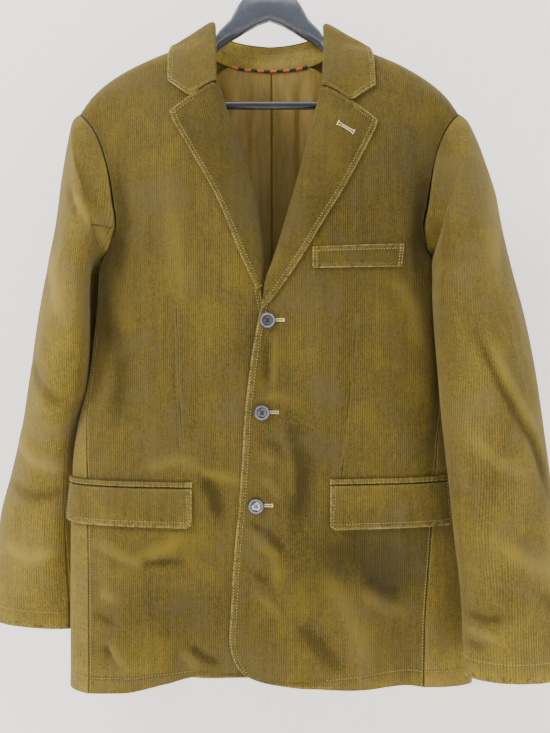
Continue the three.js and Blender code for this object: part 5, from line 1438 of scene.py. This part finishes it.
class JACKET_OT_stitching(bpy.types.Operator):
    """Makes the topstitching of edges, pockets, hem and cuffs"""

    bl_idname = "jacket.stitching"
    bl_label = "Topstitching"
    bl_options = {"REGISTER", "UNDO"}

    def execute(self, context):
        pitch = context.scene.jacket_settings.stitch_pitch
        thread = thread_material("Golden thread", context.scene.jacket_settings.thread)
        near, far = STITCH_NEAR, STITCH_FAR
        groups = {
            "front_stitching": [(n, "first_column", d, (0.0, 0.62)) for n in ("front_left", "front_right")
                                for d in (near, far)]
            + [(n, "last_column", 2.2, (0.0, 0.55)) for n in ("front_left", "front_right")]
            + [(n, "first_row", d, (0.02, 0.46)) for n in ("front_left", "front_right") for d in (near, far)],
            "lapel_stitching": [(n, b, d, (0.02, 1.0)) for n in ("lapel_left", "lapel_right")
                                for b in ("last_column", "last_row") for d in (near, far)],
            "collar_stitching": [("collar_fall", b, d, (0.0, 1.0)) for d in (near, far)
                                 for b in ("last_column", "first_row", "last_row")]
            + [("collar_stand", "last_column", d, (0.04, 0.96)) for d in (11.0, 13.5)],
            "pocket_stitching": [(n, b, d, (0.03, 0.97)) for n in ("pocket_flap_left", "pocket_flap_right")
                                 for b in ("last_row", "first_column", "last_column") for d in (near, far)]
            + [(n, "first_row", 1.4, (0.0, 1.0)) for n in ("pocket_jet_left", "pocket_jet_right")]
            + [("chest_welt", b, d, (0.0, 1.0)) for b, d in (
                ("first_row", 5.6), ("first_column", 1.4), ("first_column", 5.4),
                ("last_column", 1.4), ("last_column", 5.4))],
            "hem_stitching": [(n, "first_row", HEM_DEPTH, (0.02, 0.99)) for n in (
                "back_left", "back_right", "side_left", "side_right")]
            + [(n, "first_row", HEM_DEPTH, (0.46, 0.99)) for n in ("front_left", "front_right")]
            + [(n, "last_row", CUFF_DEPTH, (0.02, 0.98)) for n in (
                "sleeve_left_top", "sleeve_left_under", "sleeve_right_top", "sleeve_right_under")],
        }
        for name, lines in groups.items():
            rows = []
            for node, border, distance, span in lines:
                line, ways = border_line(node, border, distance, span)
                if (node.startswith("lapel") and border == "last_row") or (
                        node == "collar_fall" and border != "last_column"):
                    side = "lapel_left" if line[:, 0].mean() > 0 else "lapel_right"
                    beyond = np.abs(line[:, 0]) > (GORGE_ENDS[side] + 2) * MM
                    line, ways = line[beyond], ways[beyond]
                if len(line) > 2:
                    rows.append(stitch_row(line, ways, pitch))
            thread_piece(name, rows, thread)
        return {"FINISHED"}


class JACKET_OT_buttons(bpy.types.Operator):
    """Makes the buttons, their thread and the buttonholes"""

    bl_idname = "jacket.buttons"
    bl_label = "Buttons and buttonholes"
    bl_options = {"REGISTER", "UNDO"}

    def execute(self, context):
        dark = thread_material("Dark thread", (0.012, 0.012, 0.016))
        cream = thread_material("Buttonhole thread", (0.85, 0.76, 0.42))
        front = bpy.data.objects["front_left_cloth"]
        for k, lighter in enumerate(BUTTON_PALENESS):
            node = f"button_{k + 1}"
            middle, axis = button_frame(node)
            turn = axis.to_track_quat("Z", "Y").to_matrix().to_4x4()
            disc = turned_disc(f"{node}_disc")
            put_in_place(disc, Matrix.Translation(middle) @ turn)
            disc.data.materials.clear()
            disc.data.materials.append(horn_material(f"Horn {k + 1}", lighter))
            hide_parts(node)
            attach(disc, BODY)
            cross = thread_cross(f"{node}_thread")
            put_in_place(cross, Matrix.Translation(middle + axis * 0.4 * MM) @ turn)
            cross.data.materials.append(dark)
            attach(cross, BODY)
            at = surface_frame(front, middle.x / MM + BUTTON_HOLE_OFFSETS[k], middle.z / MM + 0.5)
            buttonhole(f"buttonhole_{k + 1}", BUTTONHOLE_LENGTH, 0.2, at, cream)
        at = surface_frame(bpy.data.objects["lapel_left_cloth"], *LAPEL_HOLE_AT)
        at = at @ Matrix.Rotation(math.radians(LAPEL_HOLE_TURN), 4, "Z")
        buttonhole("lapel_buttonhole", LAPEL_HOLE_LENGTH, 1.3, at, cream)
        return {"FINISHED"}


class JACKET_OT_hanger(bpy.types.Operator):
    """Makes the moulded hanger with its bar, and finishes its hook"""

    bl_idname = "jacket.hanger"
    bl_label = "Hanger"
    bl_options = {"REGISTER", "UNDO"}

    def execute(self, context):
        plastic, steel = plastic_material(), steel_material()
        glossy = plastic_material("Hanger bar plastic", 0.3, (0.1, 0.18))
        for node, material, slot in (
                ("hanger_body", plastic, "hanger_plastic"), ("hanger_bar", glossy, "hanger_plastic"),
                ("hanger_hook", steel, "hook_steel")):
            piece = solid_copy(node, f"{node}_finished")
            piece.data.materials.append(material)
            if node == "hanger_body":
                # The paler plastic of the bevels is painted highlight along the edges, with wear
                piece.data.materials.append(plastic_material("Hanger edges, painted highlight and wear", HANGER_EDGE_HIGHLIGHT_AND_WEAR))
                bevel_edges(piece, HANGER_BEVEL * MM)
            else:
                round_off(piece, ROUNDING_LEVELS)
            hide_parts(node)
            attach(piece, BODY)
        return {"FINISHED"}


class JACKET_OT_stage(bpy.types.Operator):
    """Sets up the pale backdrop and floor, the soft lights and the camera"""

    bl_idname = "jacket.stage"
    bl_label = "Stage, lights and camera"
    bl_options = {"REGISTER", "UNDO"}

    def execute(self, context):
        pale, tree, shader = new_material("Pale stage")
        place = object_place(tree)
        tint = blend(tree, noise(tree, place, 2.0), (0.86, 0.835, 0.785, 1.0), (0.88, 0.865, 0.82, 1.0))
        tree.links.new(tint, shader.inputs["Base Color"])
        shader.inputs["Roughness"].default_value = 0.9
        shader.inputs["Emission Color"].default_value = (1.0, 0.97, 0.92, 1.0)
        shader.inputs["Emission Strength"].default_value = 0.72
        seen = tree.nodes.new("ShaderNodeMixShader")
        tree.links.new(add_node(tree, "ShaderNodeNewGeometry").outputs["Backfacing"], seen.inputs[0])
        tree.links.new(shader.outputs[0], seen.inputs[1])
        tree.links.new(tree.nodes.new("ShaderNodeBsdfTransparent").outputs[0], seen.inputs[2])
        tree.links.new(seen.outputs[0], tree.nodes["Material Output"].inputs["Surface"])
        for name, at, turn in STAGE_PLANES:
            deselect()
            bpy.ops.mesh.primitive_plane_add(size=STAGE_SIZE, location=at, rotation=(math.radians(turn), 0, 0))
            plane = bpy.context.object
            plane.name = name
            bpy.ops.object.transform_apply(location=True, rotation=True, scale=True)
            plane.data.materials.append(pale)
        world = bpy.data.worlds.new("Studio")
        context.scene.world = world
        world.use_nodes = True
        sky = world.node_tree.nodes["Background"]
        sky.inputs["Color"].default_value = (0.92, 0.94, 1.0, 1.0)
        sky.inputs["Strength"].default_value = 0.78
        for name, at, size, power in LAMPS:
            light = bpy.data.lights.new(name, "AREA")
            light.size, light.energy = size, power
            light.color = LAMP_COLOUR
            lamp = bpy.data.objects.new(name, light)
            lamp.location = at
            lamp.rotation_euler = (Vector(LAMPS_AIM) - Vector(at)).to_track_quat("-Z", "Y").to_euler()
            context.collection.objects.link(lamp)
        camera = bpy.data.objects.new("camera", bpy.data.cameras.new("camera"))
        camera.location = CAMERA_AT
        camera.rotation_euler = (math.radians(90), 0, 0)
        camera.data.lens = LENS
        camera.data.sensor_width = 36.0
        camera.data.clip_start, camera.data.clip_end = 0.05, 50.0
        context.collection.objects.link(camera)
        context.scene.camera = camera
        return {"FINISHED"}


STEPS = (
    JACKET_OT_body, JACKET_OT_sleeves, JACKET_OT_armholes, JACKET_OT_lapels, JACKET_OT_pockets, JACKET_OT_lining,
    JACKET_OT_stitching, JACKET_OT_buttons, JACKET_OT_hanger, JACKET_OT_stage,
)


class JACKET_PT_panel(bpy.types.Panel):
    """Steps and settings of the jacket"""

    bl_idname = "JACKET_PT_panel"
    bl_label = "Corduroy jacket"
    bl_space_type = "VIEW_3D"
    bl_region_type = "UI"
    bl_category = "Jacket"

    def draw(self, context):
        for key in JacketSettings.__annotations__:
            self.layout.prop(context.scene.jacket_settings, key)
        for step in STEPS:
            self.layout.operator(step.bl_idname)


def register():
    for kind in (JacketSettings, *STEPS, JACKET_PT_panel):
        bpy.utils.register_class(kind)
    bpy.types.Scene.jacket_settings = bpy.props.PointerProperty(type=JacketSettings)


def unregister():
    del bpy.types.Scene.jacket_settings
    for kind in reversed((JacketSettings, *STEPS, JACKET_PT_panel)):
        bpy.utils.unregister_class(kind)


def main():
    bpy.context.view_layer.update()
    register()
    deselect()
    for step in STEPS:
        group, name = step.bl_idname.split(".")
        if getattr(getattr(bpy.ops, group), name)() != {"FINISHED"}:
            raise RuntimeError(f"{step.bl_label} wasn't finished")


if __name__ == "__main__":
    main()
